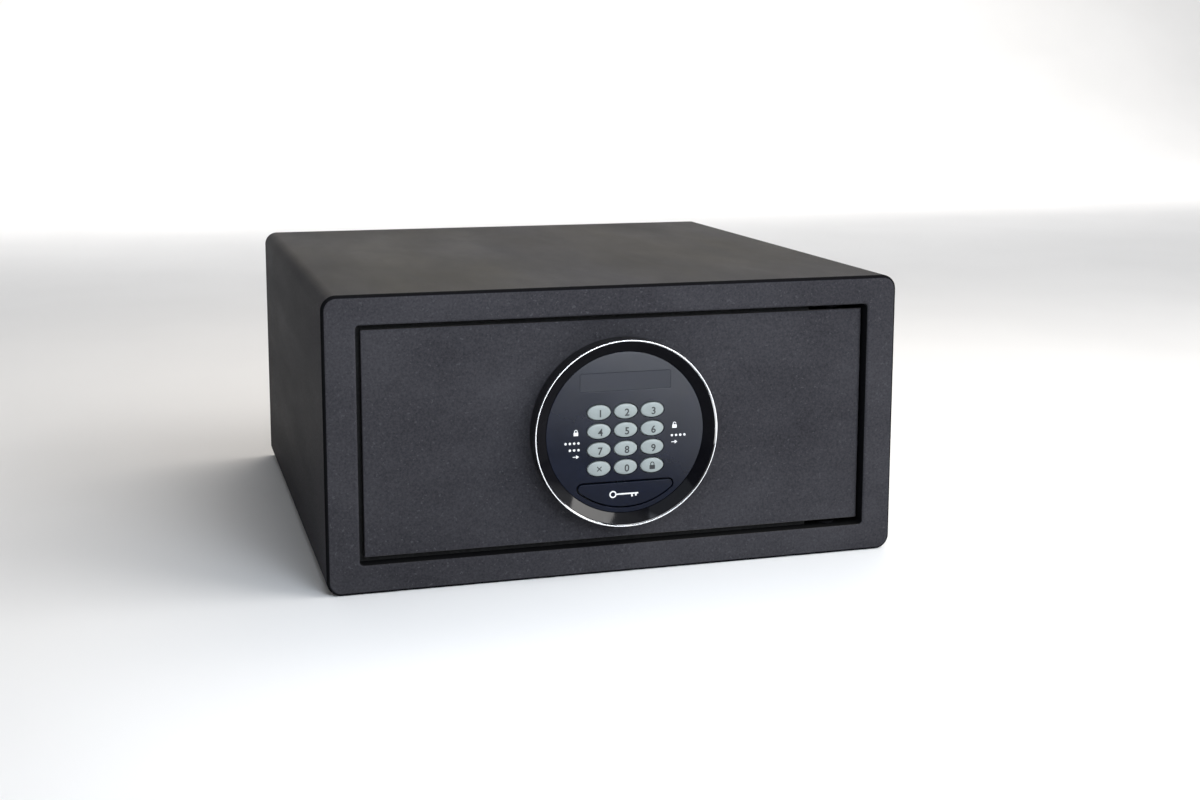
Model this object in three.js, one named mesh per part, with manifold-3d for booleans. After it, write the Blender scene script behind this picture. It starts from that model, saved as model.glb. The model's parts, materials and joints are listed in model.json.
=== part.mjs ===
// In-room safe: a steel housing, a flush door with a round keypad, and two motor-driven locking bolts.
// Millimetres, +Z up, -Y towards the user. The origin is the centre of the housing's underside.
// The door stands closed with its bolts drawn back, so that every joint can move from here.
import * as THREE from 'three';
import { mergeVertices } from 'three/addons/utils/BufferGeometryUtils.js';
import Module from 'manifold-3d';

const wasm = await Module();
wasm.setup();

// ---------------------------------------------------------------- driving dimensions

const WIDTH = 405;
const HEIGHT = 200;
const DEPTH = 410;
const CORNER = 10;              // radius of the four long edges
const SHEET = 2;                // housing sheet
const GAP = 0.3;                // between two pieces that touch
const MID_Z = HEIGHT / 2;
const FRONT = -DEPTH / 2;
const REAR = DEPTH / 2;

const FRAME_SIDE = 22;          // width of the frame beside the door
const FRAME_BAR = 20;           // height of the frame above and below the door
const FRAME_PLATE = 3;
const FRAME_FILLET = 3;
const FRAME_RETURN = 42;        // depth of the wall round the door opening
const OPENING_R = 2.5;
const OPENING_X = WIDTH / 2 - FRAME_SIDE;
const OPENING_Z0 = FRAME_BAR;
const OPENING_Z1 = HEIGHT - FRAME_BAR;
const RETURN_BACK = FRONT + FRAME_RETURN;
const STOP_LIP = 5;             // the strip behind the door's edge that it shuts against
const STOP_END = 140;           // the strip ends short of the hinge
const STOP_SHEET = 2;
const STOP_CLEARANCE = 0.8;

const ROUND = 44;               // sides of the keypad's large circles

const DOOR_RECESS = 4.5;
const DOOR_PLATE = 5;
const DOOR_ROLL = 4.5;          // radius of the edge beside the hinge, so that it can turn in its gap
const DOOR_X0 = -OPENING_X + 3.5;
const DOOR_X1 = OPENING_X - 1.5;
const DOOR_Z0 = OPENING_Z0 + 4.5;
const DOOR_Z1 = OPENING_Z1 - 3.5;
const DOOR_FRONT = FRONT + DOOR_RECESS;
const DOOR_BACK = DOOR_FRONT + DOOR_PLATE;
const INSIDE = DOOR_BACK + GAP; // where pieces behind the door plate start

const HINGE_X = DOOR_X1 - 22;
const HINGE_Y = DOOR_BACK + 4.5;
const HINGE_PIN_R = 3;
const HINGE_BUSH_R = 5;
const LUG_HALF_X = 9;
const LUG_DEPTH = 11;
const LUG_Z0 = 160;
const LUG_Z1 = 174;

const COVER_X0 = -165;
const COVER_X1 = 145;
const COVER_Z0 = 32;
const COVER_Z1 = 168;
const COVER_SHEET = 1.5;
const COVER_BACK = DOOR_BACK + 40.5;
const COVER_INNER = COVER_BACK - COVER_SHEET;
const COVER_CORNER = 4;
const POST_INSET = 12;
const POST_R = 4;
const POST_END = COVER_BACK - 13;
const RAIL_X0 = -4;
const RAIL_HEIGHT = 2.5;
const RAIL_SHEET = 1.9;
const SCREW_R = 2;
const SCREW_HOLE_R = SCREW_R + GAP;

const BOLT_R = 9;
const BOLT_Y = DOOR_BACK + 17.5;
const BOLT_TIP = DOOR_X0 + 4;
const BOLT_CHAMFER = 1.5;
const BOLT_HEIGHTS = [70, 130];
const CHASSIS_X0 = -160;
const CHASSIS_X1 = -30;
const CHASSIS_Z0 = 50;
const CHASSIS_Z1 = 150;
const CHASSIS_SHEET = 2;
const CARRIER_X = -128;
const CARRIER_SHEET = 4;
const CARRIER_HALF_Y = 11;
const CARRIER_Z0 = 58;
const CARRIER_Z1 = 142;
const RACK_END = -60;
const RACK_PITCH_Z = 104;
const GEAR_WIDTH = 8;
const PINION_X = -94;
const PINION_TEETH = 12;
const PINION_R = 9;             // pitch radius: one tooth every 4.71 mm of rack
const TOOTH_PITCH = (2 * Math.PI * PINION_R) / PINION_TEETH;
const TOOTH_TIP = 1.3;          // above the pitch line
const TOOTH_ROOT = 1.8;         // below it
const TOOTH_FOOT = 1.35;        // half its width at the root
const TOOTH_CREST = 0.5;        // half its width at the tip
const MOTOR_R = 11;
const MOTOR_Z = 136;

const PAD_R = 64.4;
const PAD_FRONT = DOOR_FRONT - 15.8;
const PAD_WALL = 2.1;
const PAD_BACK_WALL = 1.8;
const PAD_BACK = DOOR_FRONT - GAP;
const PAD_FLOOR = PAD_BACK - PAD_BACK_WALL;
const CHROME_DEPTH = 1.5;
const FACE_R = 55.7;
const FACE_FRONT = DOOR_FRONT - 10.5;
const FACE_PLATE = 2.5;
const FACE_BACK = FACE_FRONT + FACE_PLATE;
const BOARD_R = 54;
const BOARD_Z0 = 67;            // the keypad board stops above the override lock
const BOARD_SHEET = 1.6;
const BOARD_FRONT = PAD_FLOOR - GAP - BOARD_SHEET;
const WIRE_HOLE_R = 8;
const WIRE_HOLE_Z = MID_Z + 8;
const MAT_PAD_SHEET = 0.8;      // the rubber mat under the keys

const KEY_RX = 8.15;
const KEY_RZ = 5.1;
const KEY_PITCH_X = 18.85;
const KEY_PITCH_Z = 12.93;
const KEY_TOP_Z = 114.9;
const KEY_FLANGE = 0.7;
const KEY_CROWN = 1.2;          // how far a key stands above the faceplate
const KEY_LENGTH = 5.6;
const KEY_ROWS = [['1', '2', '3'], ['4', '5', '6'], ['7', '8', '9'], ['clear', '0', 'lock']];

const WINDOW_X = 32.3;
const WINDOW_Z0 = 129;
const WINDOW_Z1 = 142;

const CAP_R = 51.4;             // the override cap's lower edge, round the keypad's centre
const CAP_Z1 = 65.5;
const CAP_CORNER = 3;
const CAP_SHEET = 2.4;
const LOCK_Z = 57;
const LOCK_R = 7.5;
const LOCK_PLUG_R = 5;
const LOCK_FACE = FACE_BACK + 0.9;
const LOCK_BACK = DOOR_BACK + 15.5;
const NUT_R = 11.5;
const NUT_SHEET = 4;

const TRAY_X0 = 64;
const TRAY_X1 = 130;
const TRAY_Z0 = 60;
const TRAY_Z1 = 124;
const TRAY_WALL = 1.5;
const TRAY_BACK = COVER_INNER - GAP;
const TRAY_FLOOR = TRAY_BACK - 16.7;
const CELL_R = 7.1;
const CELL_PITCH = 15.3;
const CELL_LENGTH = 50.5;

const ANCHOR_X = 120;
const ANCHOR_Y = 60;
const ANCHOR_HOLE_R = 7;
const PLUG_HEAD_R = 9.5;
const PLUG_END = SHEET + 1.4;
const FLOOR_MAT_X = 190;
const FLOOR_MAT_SHEET = 3;
const FLOOR_MAT_HOLE_R = 11;

// ---------------------------------------------------------------- materials

const finish = (color, roughness, metalness) => new THREE.MeshStandardMaterial(
  { color, roughness, metalness });
const powderCoat = finish(0x2a2a2d, 0.5, 0.3);
const innerCoat = finish(0x222326, 0.6, 0.2);
const zincSteel = finish(0xa7a9ac, 0.4, 0.9);
const chrome = finish(0xe8eaec, 0.1, 1);
const glossBlack = finish(0x08090b, 0.15, 0);
const smokedLens = finish(0x101418, 0.08, 0);
const keyPlastic = finish(0xbfc8c6, 0.4, 0);
const blackPlastic = finish(0x141516, 0.45, 0);
const brass = finish(0xb08d4a, 0.35, 0.9);
const greenBoard = finish(0x1d5a37, 0.5, 0);
const siliconeRubber = finish(0x8c8f90, 0.8, 0);
const carpet = finish(0x1b1c1f, 0.95, 0);
const cellSleeve = finish(0x2f5f8a, 0.4, 0.3);

// ---------------------------------------------------------------- shape helpers

// Turns the faces outwards when a closed geometry came out inside out.
function outward(geometry) {
  const p = geometry.attributes.position;
  const index = geometry.index.array;
  const [a, b, c] = [new THREE.Vector3(), new THREE.Vector3(), new THREE.Vector3()];
  let volume = 0;
  for (let i = 0; i < index.length; i += 3) {
    a.fromBufferAttribute(p, index[i]);
    b.fromBufferAttribute(p, index[i + 1]);
    c.fromBufferAttribute(p, index[i + 2]);
    volume += a.dot(b.cross(c));
  }
  if (volume < 0) {
    for (let i = 0; i < index.length; i += 3) {
      [index[i], index[i + 1]] = [index[i + 1], index[i]];
    }
  }
  return geometry;
}

function welded(geometry) {
  const bare = geometry.clone();
  bare.deleteAttribute('normal');
  bare.deleteAttribute('uv');
  return outward(mergeVertices(bare, 1e-4));
}

function toSolid(geometry) {
  const closed = welded(geometry);
  return new wasm.Manifold(new wasm.Mesh({
    numProp: 3,
    vertProperties: new Float32Array(closed.attributes.position.array),
    triVerts: new Uint32Array(closed.index.array),
  }));
}

function toGeometry(solid) {
  const mesh = solid.getMesh();
  const geometry = new THREE.BufferGeometry();
  geometry.setAttribute('position', new THREE.BufferAttribute(new Float32Array(mesh.vertProperties), 3));
  geometry.setIndex(new THREE.BufferAttribute(new Uint32Array(mesh.triVerts), 1));
  geometry.computeVertexNormals();
  return geometry;
}

const join = (...pieces) => toGeometry(
  pieces.map(toSolid).reduce((all, piece) => all.add(piece)));
const cut = (base, ...tools) => toGeometry(
  tools.map(toSolid).reduce((left, tool) => left.subtract(tool), toSolid(base)));

function box(x0, x1, y0, y1, z0, z1) {
  return new THREE.BoxGeometry(x1 - x0, y1 - y0, z1 - z0)
    .translate((x0 + x1) / 2, (y0 + y1) / 2, (z0 + z1) / 2);
}

// A shape drawn in x and z, given thickness from y0 to y1.
function slab(shape, y0, y1, curveSegments = 3) {
  return new THREE.ExtrudeGeometry(shape, { depth: y1 - y0, bevelEnabled: false, curveSegments })
    .rotateX(Math.PI / 2)
    .translate(0, y1, 0);
}

function roundedRect(x0, x1, z0, z1, r, Kind = THREE.Shape) {
  const shape = new Kind();
  shape.moveTo(x0 + r, z0);
  shape.lineTo(x1 - r, z0);
  shape.absarc(x1 - r, z0 + r, r, -Math.PI / 2, 0);
  shape.lineTo(x1, z1 - r);
  shape.absarc(x1 - r, z1 - r, r, 0, Math.PI / 2);
  shape.lineTo(x0 + r, z1);
  shape.absarc(x0 + r, z1 - r, r, Math.PI / 2, Math.PI);
  shape.lineTo(x0, z0 + r);
  shape.absarc(x0 + r, z0 + r, r, Math.PI, 1.5 * Math.PI);
  return shape;
}

// The points of a closed path, with no point given twice.
function outline(path, divisions) {
  const points = path.getPoints(divisions);
  return points.filter((point, i) => point.distanceTo(points[(i + 1) % points.length]) > 1e-3);
}

const ellipse = (x, z, rx, rz, sides = 16) => new THREE.Path(
  outline(new THREE.Path().absellipse(x, z, rx, rz, 0, 2 * Math.PI), sides / 2));

function rod(axis, r, from, to, across, segments = 20) {
  const geometry = new THREE.CylinderGeometry(r, r, to - from, segments);
  const middle = (from + to) / 2;
  if (axis === 'x') return geometry.rotateZ(Math.PI / 2).translate(middle, across[0], across[1]);
  if (axis === 'y') return geometry.translate(across[0], middle, across[1]);
  return geometry.rotateX(Math.PI / 2).translate(across[0], across[1], middle);
}

// A profile of [radius, y] points turned about a line along Y through (x, z).
function turned(profile, x, z, segments = 16) {
  const points = profile.map(([r, y]) => new THREE.Vector2(r, y));
  return new THREE.LatheGeometry(points, segments).translate(x, 0, z);
}

// A ring: the outline closes on itself.
const turnedRing = (profile, x, z, segments) => turned([...profile, profile[0]], x, z, segments);

const mirrorZ = (geometry) => welded(geometry)
  .translate(0, 0, -MID_Z).scale(1, 1, -1).translate(0, 0, MID_Z);

// ---------------------------------------------------------------- housing

const housingOutline = (inset) => roundedRect(
  -WIDTH / 2 + inset, WIDTH / 2 - inset, inset, HEIGHT - inset, CORNER - inset);

function bodyWrap() {
  const shape = housingOutline(0);
  shape.holes.push(housingOutline(SHEET));
  const tube = slab(shape, FRONT + FRAME_PLATE + GAP, REAR);
  const holes = [-1, 1].map((side) => rod('z', ANCHOR_HOLE_R, -1, SHEET + 1, [side * ANCHOR_X, ANCHOR_Y]));
  return cut(tube, ...holes);
}

function rearPanel() {
  const shape = housingOutline(SHEET + GAP);
  for (const side of [-1, 1]) {
    shape.holes.push(ellipse(side * ANCHOR_X, MID_Z, ANCHOR_HOLE_R, ANCHOR_HOLE_R));
  }
  return slab(shape, REAR - 1 - SHEET, REAR - 1);
}

// The face of the frame has a rounded outer edge: a bevelled slab of which only the front half is kept.
function frontFrame() {
  const face = new THREE.ExtrudeGeometry(housingOutline(FRAME_FILLET), {
    depth: 0.1, bevelSize: FRAME_FILLET, bevelThickness: FRAME_FILLET, bevelSegments: 3, curveSegments: 3,
  }).rotateX(Math.PI / 2).translate(0, FRONT + FRAME_FILLET + 0.1, 0);
  const behind = box(-WIDTH, WIDTH, FRONT + FRAME_PLATE, RETURN_BACK, -HEIGHT, 2 * HEIGHT);
  const opening = roundedRect(-OPENING_X, OPENING_X, OPENING_Z0, OPENING_Z1, OPENING_R, THREE.Path);
  const wall = roundedRect(
    -OPENING_X - SHEET, OPENING_X + SHEET, OPENING_Z0 - SHEET, OPENING_Z1 + SHEET, OPENING_R + SHEET);
  const holeCutter = slab(new THREE.Shape(opening.getPoints(2)), FRONT - 5, RETURN_BACK + 5);
  const returnWall = slab(wall, FRONT + 1, RETURN_BACK, 2);
  const bolts = BOLT_HEIGHTS.map((z) => rod('x', BOLT_R + 1, -OPENING_X - 5, -OPENING_X + 5, [BOLT_Y, z]));
  const bushes = [OPENING_Z0, OPENING_Z1].map(
    (z) => rod('z', HINGE_BUSH_R + GAP, z - 5, z + 5, [HINGE_X, HINGE_Y]));
  const lipFront = DOOR_BACK + STOP_CLEARANCE;
  const lip = cut(
    box(-OPENING_X - 1, STOP_END, lipFront, lipFront + STOP_SHEET, OPENING_Z0 - 1, OPENING_Z1 + 1),
    box(-OPENING_X + STOP_LIP, STOP_END + 1, DOOR_BACK, lipFront + STOP_SHEET + 1,
      OPENING_Z0 + STOP_LIP, OPENING_Z1 - STOP_LIP));
  return join(cut(join(cut(face, behind), returnWall), holeCutter, ...bolts, ...bushes), lip);
}

function floorMat() {
  const shape = roundedRect(-FLOOR_MAT_X, FLOOR_MAT_X, RETURN_BACK + 18, REAR - 8, 4);
  for (const side of [-1, 1]) {
    shape.holes.push(ellipse(side * ANCHOR_X, ANCHOR_Y, FLOOR_MAT_HOLE_R, FLOOR_MAT_HOLE_R));
  }
  return new THREE.ExtrudeGeometry(shape, {
    depth: FLOOR_MAT_SHEET, bevelEnabled: false, curveSegments: 5,
  }).translate(0, 0, SHEET + GAP);
}

// A blanking plug for an anchor hole: its head is inside the safe and its spigot is flush outside.
const plugProfile = [[0, 0], [ANCHOR_HOLE_R - GAP, 0], [ANCHOR_HOLE_R - GAP, SHEET + GAP],
  [PLUG_HEAD_R, SHEET + GAP], [PLUG_HEAD_R - 1, PLUG_END], [0, PLUG_END]];
const rearPlug = (x) => turned(plugProfile.map(([r, y]) => [r, REAR - 1 - y]), x, MID_Z);
const floorPlug = (x) => turned(plugProfile, 0, 0).rotateX(Math.PI / 2).translate(x, ANCHOR_Y, 0);

// A flanged bush pressed into the upper wall of the door opening.
function hingeBush() {
  const z0 = OPENING_Z1;
  const collar = rod('z', HINGE_BUSH_R + 2, z0 - 2, z0 - GAP, [HINGE_X, HINGE_Y]);
  const sleeve = rod('z', HINGE_BUSH_R, z0 - 1, z0 + 7, [HINGE_X, HINGE_Y]);
  return cut(join(collar, sleeve), rod('z', HINGE_PIN_R + GAP, z0 - 3, z0 + 8, [HINGE_X, HINGE_Y]));
}

// ---------------------------------------------------------------- door

const coverCorners = [COVER_X0 + POST_INSET, COVER_X1 - POST_INSET].flatMap(
  (x) => [COVER_Z0 + POST_INSET, COVER_Z1 - POST_INSET].map((z) => [x, z]));
const padScrews = [[-24, MID_Z + 24], [24, MID_Z + 24]];

// The plate, rolled back at its hinge edge, with the four posts that the inner cover is screwed to.
function doorPlate() {
  const section = new THREE.Shape();
  section.moveTo(DOOR_X0, DOOR_FRONT);
  section.lineTo(DOOR_X1 - DOOR_ROLL, DOOR_FRONT);
  section.absarc(DOOR_X1 - DOOR_ROLL, DOOR_FRONT + DOOR_ROLL, DOOR_ROLL, -Math.PI / 2, 0);
  section.lineTo(DOOR_X1, DOOR_BACK);
  section.lineTo(DOOR_X0, DOOR_BACK);
  const plate = new THREE.ExtrudeGeometry(section, {
    depth: DOOR_Z1 - DOOR_Z0, bevelEnabled: false, curveSegments: 6,
  }).translate(0, 0, DOOR_Z0);
  const hole = (x, z, r) => rod('y', r, DOOR_FRONT - 1, DOOR_BACK + 1, [x, z]);
  const posts = coverCorners.map((at) => rod('y', POST_R, DOOR_BACK - 1, POST_END, at, 16));
  return join(cut(plate, hole(0, LOCK_Z, LOCK_R + GAP), hole(0, WIRE_HOLE_Z, WIRE_HOLE_R),
    ...padScrews.map(([x, z]) => hole(x, z, SCREW_HOLE_R))), ...posts);
}

function hingeLug() {
  const block = box(HINGE_X - LUG_HALF_X, HINGE_X + LUG_HALF_X, INSIDE, INSIDE + LUG_DEPTH, LUG_Z0, LUG_Z1);
  return cut(block, rod('z', HINGE_PIN_R + GAP, LUG_Z0 - 5, LUG_Z1 + 5, [HINGE_X, HINGE_Y]));
}

const hingePin = () => rod('z', HINGE_PIN_R, LUG_Z0 - 2, OPENING_Z1 + 6, [HINGE_X, HINGE_Y]);

// A pan over the lock, with slots for the bolts, the battery opening and rails for the battery lid.
function doorCover() {
  const t = COVER_SHEET;
  const pan = cut(
    slab(roundedRect(COVER_X0, COVER_X1, COVER_Z0, COVER_Z1, COVER_CORNER), INSIDE, COVER_BACK),
    slab(roundedRect(COVER_X0 + t, COVER_X1 - t, COVER_Z0 + t, COVER_Z1 - t, COVER_CORNER - t),
      INSIDE - 1, COVER_INNER));
  const rails = [TRAY_Z0 - 4.2, TRAY_Z1 + 2.3].map(
    (z) => box(RAIL_X0, TRAY_X1 + 5, COVER_BACK - 1, COVER_BACK + RAIL_HEIGHT, z, z + RAIL_SHEET));
  const boltHoles = BOLT_HEIGHTS.map(
    (z) => rod('x', BOLT_R + 0.8, COVER_X0 - 1, COVER_X0 + t + 1, [BOLT_Y, z]));
  const screwHoles = coverCorners.map(
    (at) => rod('y', SCREW_HOLE_R, COVER_INNER - 1, COVER_BACK + 1, at, 16));
  const batteryHole = box(
    TRAY_X0 + 2, TRAY_X1 - 2, COVER_INNER - 1, COVER_BACK + 1, TRAY_Z0 + 2, TRAY_Z1 - 2);
  return cut(join(pan, ...rails), ...boltHoles, ...screwHoles, batteryHole);
}

// The profile of a screw that runs along +Y: a shank and a domed head.
const screwProfile = (tip, headBase, headR) => [[0, tip], [SCREW_R, tip], [SCREW_R, headBase],
  [headR, headBase], [headR - 0.4, headBase + 1.7], [0, headBase + 2.3]];

const coverScrew = ([x, z]) => turned(screwProfile(POST_END + GAP, COVER_BACK + GAP, 4), x, z);
const keypadScrew = ([x, z]) => turned(screwProfile(PAD_FLOOR + GAP, INSIDE, 3.8), x, z);

// ---------------------------------------------------------------- lock

// A base plate on the door with one edge turned up to guide the bolts.
function lockChassis() {
  const plateBack = INSIDE + CHASSIS_SHEET;
  const plate = box(CHASSIS_X0, CHASSIS_X1, INSIDE, plateBack, CHASSIS_Z0, CHASSIS_Z1);
  const flangeX = CHASSIS_X0 + CHASSIS_SHEET;
  const flange = box(
    flangeX, flangeX + CHASSIS_SHEET, INSIDE + 1, BOLT_Y + 12, CHASSIS_Z0 + 4, CHASSIS_Z1 - 4);
  const holes = BOLT_HEIGHTS.map(
    (z) => rod('x', BOLT_R + 0.6, flangeX - 1, flangeX + CHASSIS_SHEET + 1, [BOLT_Y, z]));
  const windows = [60, 125].map((z) => box(-60, -40, INSIDE - 1, plateBack + 1, z, z + 15));
  return cut(join(plate, flange), ...holes, ...windows);
}

// A round bolt with a chamfered tip that points to -X.
function lockingBolt(z) {
  const root = CARRIER_X - GAP;
  const profile = [[0, BOLT_TIP], [BOLT_R - BOLT_CHAMFER, BOLT_TIP], [BOLT_R, BOLT_TIP + BOLT_CHAMFER],
    [BOLT_R, root], [0, root]];
  return turned(profile, 0, 0, 20).rotateZ(Math.PI / 2).scale(-1, 1, 1).translate(0, BOLT_Y, z);
}

// One rack tooth stands on the root line; it is slimmer than half a pitch, so that it runs free.
function toothShape(x, baseZ, height) {
  const shape = new THREE.Shape();
  shape.moveTo(x - TOOTH_FOOT, baseZ - 0.5);
  shape.lineTo(x + TOOTH_FOOT, baseZ - 0.5);
  shape.lineTo(x + TOOTH_CREST, baseZ + height);
  shape.lineTo(x - TOOTH_CREST, baseZ + height);
  shape.closePath();
  return shape;
}

function boltCarrier() {
  const y0 = BOLT_Y - GEAR_WIDTH / 2;
  const y1 = BOLT_Y + GEAR_WIDTH / 2;
  const rootZ = RACK_PITCH_Z - TOOTH_ROOT;
  const plate = box(CARRIER_X, CARRIER_X + CARRIER_SHEET, BOLT_Y - CARRIER_HALF_Y, BOLT_Y + CARRIER_HALF_Y,
    CARRIER_Z0, CARRIER_Z1);
  const bar = box(CARRIER_X + 1, RACK_END, y0, y1, rootZ - 8, rootZ);
  // A rack tooth faces each gap of the pinion, so the rack's middle is half a pitch from a tooth.
  const firstTooth = Math.ceil((CARRIER_X + CARRIER_SHEET + 3 - PINION_X) / TOOTH_PITCH - 0.5);
  const lastTooth = Math.floor((RACK_END - 2 - PINION_X) / TOOTH_PITCH - 0.5);
  const teeth = [];
  for (let i = firstTooth; i <= lastTooth; i += 1) {
    const x = PINION_X + (i + 0.5) * TOOTH_PITCH;
    teeth.push(slab(toothShape(x, rootZ, TOOTH_ROOT + TOOTH_TIP), y0, y1));
  }
  return join(plate, bar, ...teeth);
}

function pinion() {
  const y0 = BOLT_Y - GEAR_WIDTH / 2;
  const z = RACK_PITCH_Z + PINION_R;
  const rootR = PINION_R - TOOTH_ROOT;
  const teeth = Array.from({ length: PINION_TEETH }, (_, i) => slab(
    toothShape(0, rootR, TOOTH_ROOT + TOOTH_TIP), y0, y0 + GEAR_WIDTH)
    .rotateY(Math.PI + (i * 2 * Math.PI) / PINION_TEETH).translate(PINION_X, 0, z));
  const disc = rod('y', rootR, y0, y0 + GEAR_WIDTH, [PINION_X, z], PINION_TEETH * 2);
  const shaft = rod('y', 2.5, y0 + 1, y0 + GEAR_WIDTH + 3, [PINION_X, z], 16);
  return join(disc, shaft, ...teeth);
}

// A gearbox over the pinion with its motor beside it.
function gearMotor() {
  const y0 = BOLT_Y + GEAR_WIDTH / 2 + 3 + GAP;
  const gearbox = box(PINION_X - 18, PINION_X + 18, y0, COVER_INNER - 1, RACK_PITCH_Z - 4, CHASSIS_Z1);
  const across = [COVER_INNER - MOTOR_R - 1.5, MOTOR_Z];
  const can = rod('x', MOTOR_R, PINION_X + 17, PINION_X + 52, across);
  const boss = rod('x', 4, PINION_X + 51, PINION_X + 55, across, 16);
  return join(gearbox, can, boss);
}

const controlBoard = () => slab(
  roundedRect(-22, 48, 84, CHASSIS_Z1, 2), INSIDE + 4, INSIDE + 4 + BOARD_SHEET);

function lockBody() {
  return turnedRing([[LOCK_PLUG_R + GAP, LOCK_FACE], [LOCK_R, LOCK_FACE], [LOCK_R, LOCK_BACK],
    [LOCK_PLUG_R + GAP, LOCK_BACK]], 0, LOCK_Z);
}

const lockNut = () => cut(
  rod('y', NUT_R, INSIDE, INSIDE + NUT_SHEET, [0, LOCK_Z], 6),
  rod('y', LOCK_R + GAP, INSIDE - 1, INSIDE + NUT_SHEET + 1, [0, LOCK_Z]));

// The turning core of the override lock: a keyway in front and a cam behind.
function lockPlug() {
  const core = rod('y', LOCK_PLUG_R, LOCK_FACE, LOCK_BACK + 1.5, [0, LOCK_Z]);
  const camShape = roundedRect(-4.5, 4.5, LOCK_Z - 5.5, LOCK_Z + 20, 4);
  const cam = slab(camShape, LOCK_BACK + 0.6, LOCK_BACK + 3.1, 4);
  const keyway = box(-1.1, 1.1, LOCK_FACE - 1, LOCK_FACE + 9, LOCK_Z - 3.6, LOCK_Z + 3.6);
  return cut(join(core, cam), keyway);
}

// ---------------------------------------------------------------- batteries

const batteryTray = () => cut(
  box(TRAY_X0, TRAY_X1, TRAY_FLOOR, TRAY_BACK, TRAY_Z0, TRAY_Z1),
  box(TRAY_X0 + TRAY_WALL, TRAY_X1 - TRAY_WALL, TRAY_FLOOR + TRAY_WALL, TRAY_BACK + 5,
    TRAY_Z0 + TRAY_WALL, TRAY_Z1 - TRAY_WALL));

// Cells lie side by side, every second one the other way up; the small end is the positive pole.
function batteryCell(i) {
  const x = (TRAY_X0 + TRAY_X1) / 2 + (i - 1.5) * CELL_PITCH;
  const y = TRAY_FLOOR + TRAY_WALL + CELL_R + GAP;
  const half = CELL_LENGTH / 2;
  const shoulder = half - 1.2;
  const poleR = 2.7;
  const profile = [[0, -half], [CELL_R, -half], [CELL_R, shoulder], [poleR, shoulder], [poleR, half],
    [0, half]];
  return turned(profile, 0, 0)
    .rotateX(i % 2 ? -Math.PI / 2 : Math.PI / 2)
    .translate(x, y, (TRAY_Z0 + TRAY_Z1) / 2);
}

function batteryLid() {
  const y0 = COVER_BACK + GAP;
  const plate = box(TRAY_X0 - 3, TRAY_X1 + 3, y0, y0 + 1.8, TRAY_Z0 - 2, TRAY_Z1 + 2);
  const ribs = [0, 1, 2].map((i) => {
    const x = TRAY_X0 + 4 + 3 * i;
    return box(x, x + 1.4, y0 + 1, y0 + 2.6, MID_Z - 22, MID_Z + 6);
  });
  return join(plate, ...ribs);
}

// ---------------------------------------------------------------- keypad

function keypadHousing() {
  const rim = PAD_FRONT + CHROME_DEPTH + GAP;
  const cup = turned([[0, PAD_BACK], [PAD_R, PAD_BACK], [PAD_R, rim], [PAD_R - PAD_WALL, rim],
    [PAD_R - PAD_WALL, PAD_FLOOR], [0, PAD_FLOOR]], 0, MID_Z, ROUND);
  const hole = (x, z, r) => rod('y', r, PAD_FLOOR - 1, PAD_BACK + 1, [x, z]);
  return cut(cup, hole(0, LOCK_Z, LOCK_R + GAP), hole(0, WIRE_HOLE_Z, WIRE_HOLE_R),
    ...padScrews.map(([x, z]) => hole(x, z, SCREW_HOLE_R)));
}

function chromeRing() {
  const back = PAD_FRONT + CHROME_DEPTH;
  const shoulder = PAD_FRONT + 0.6;
  return turnedRing([[PAD_R - 2, back], [PAD_R, back], [PAD_R, shoulder], [PAD_R - 0.5, PAD_FRONT],
    [PAD_R - 1.5, PAD_FRONT], [PAD_R - 2, shoulder]], 0, MID_Z, ROUND);
}

// The dished black ring that falls from the chrome ring to the faceplate.
const keypadBezel = () => turnedRing([[FACE_R + GAP, FACE_FRONT], [FACE_R + GAP, FACE_BACK],
  [PAD_R - PAD_WALL - GAP, FACE_BACK], [PAD_R - PAD_WALL - GAP, PAD_FRONT + 0.9]], 0, MID_Z, ROUND);

const keySpots = KEY_ROWS.flatMap((row, j) => row.map((label, i) => (
  { label, x: (i - 1) * KEY_PITCH_X, z: KEY_TOP_Z - j * KEY_PITCH_Z })));

// The override cap: a straight top edge, and a lower edge on a circle round the keypad's centre.
function capOutline(grow) {
  const r = CAP_R + grow;
  const top = CAP_Z1 + grow - MID_Z;
  const c = CAP_CORNER + grow;
  const cornerZ = top - c;
  const cornerX = Math.sqrt((r - c) ** 2 - cornerZ ** 2);
  const start = Math.atan2(cornerZ, -cornerX);
  const shape = new THREE.Shape();
  shape.absarc(0, MID_Z, r, start, -Math.PI - start, false);
  shape.absarc(cornerX, MID_Z + cornerZ, c, -Math.PI - start, Math.PI / 2, false);
  shape.absarc(-cornerX, MID_Z + cornerZ, c, Math.PI / 2, 2 * Math.PI + start, false);
  return shape;
}

function faceplate() {
  const shape = new THREE.Shape(ellipse(0, MID_Z, FACE_R, FACE_R, ROUND).getPoints());
  shape.holes = keySpots.map(({ x, z }) => ellipse(x, z, KEY_RX + 0.35, KEY_RZ + 0.35));
  shape.holes.push(new THREE.Path(outline(roundedRect(-WINDOW_X, WINDOW_X, WINDOW_Z0, WINDOW_Z1, 1.5), 1)));
  shape.holes.push(new THREE.Path(outline(capOutline(GAP), 5)));
  return slab(shape, FACE_FRONT, FACE_BACK);
}

const displayWindow = () => slab(
  roundedRect(-WINDOW_X + GAP, WINDOW_X - GAP, WINDOW_Z0 + GAP, WINDOW_Z1 - GAP, 1.2),
  FACE_FRONT + 0.1, FACE_BACK);

const displayModule = () => box(-WINDOW_X + 2, WINDOW_X - 2, FACE_BACK + GAP, FACE_BACK + 3,
  WINDOW_Z0 + 1, WINDOW_Z1 - 1);

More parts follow.
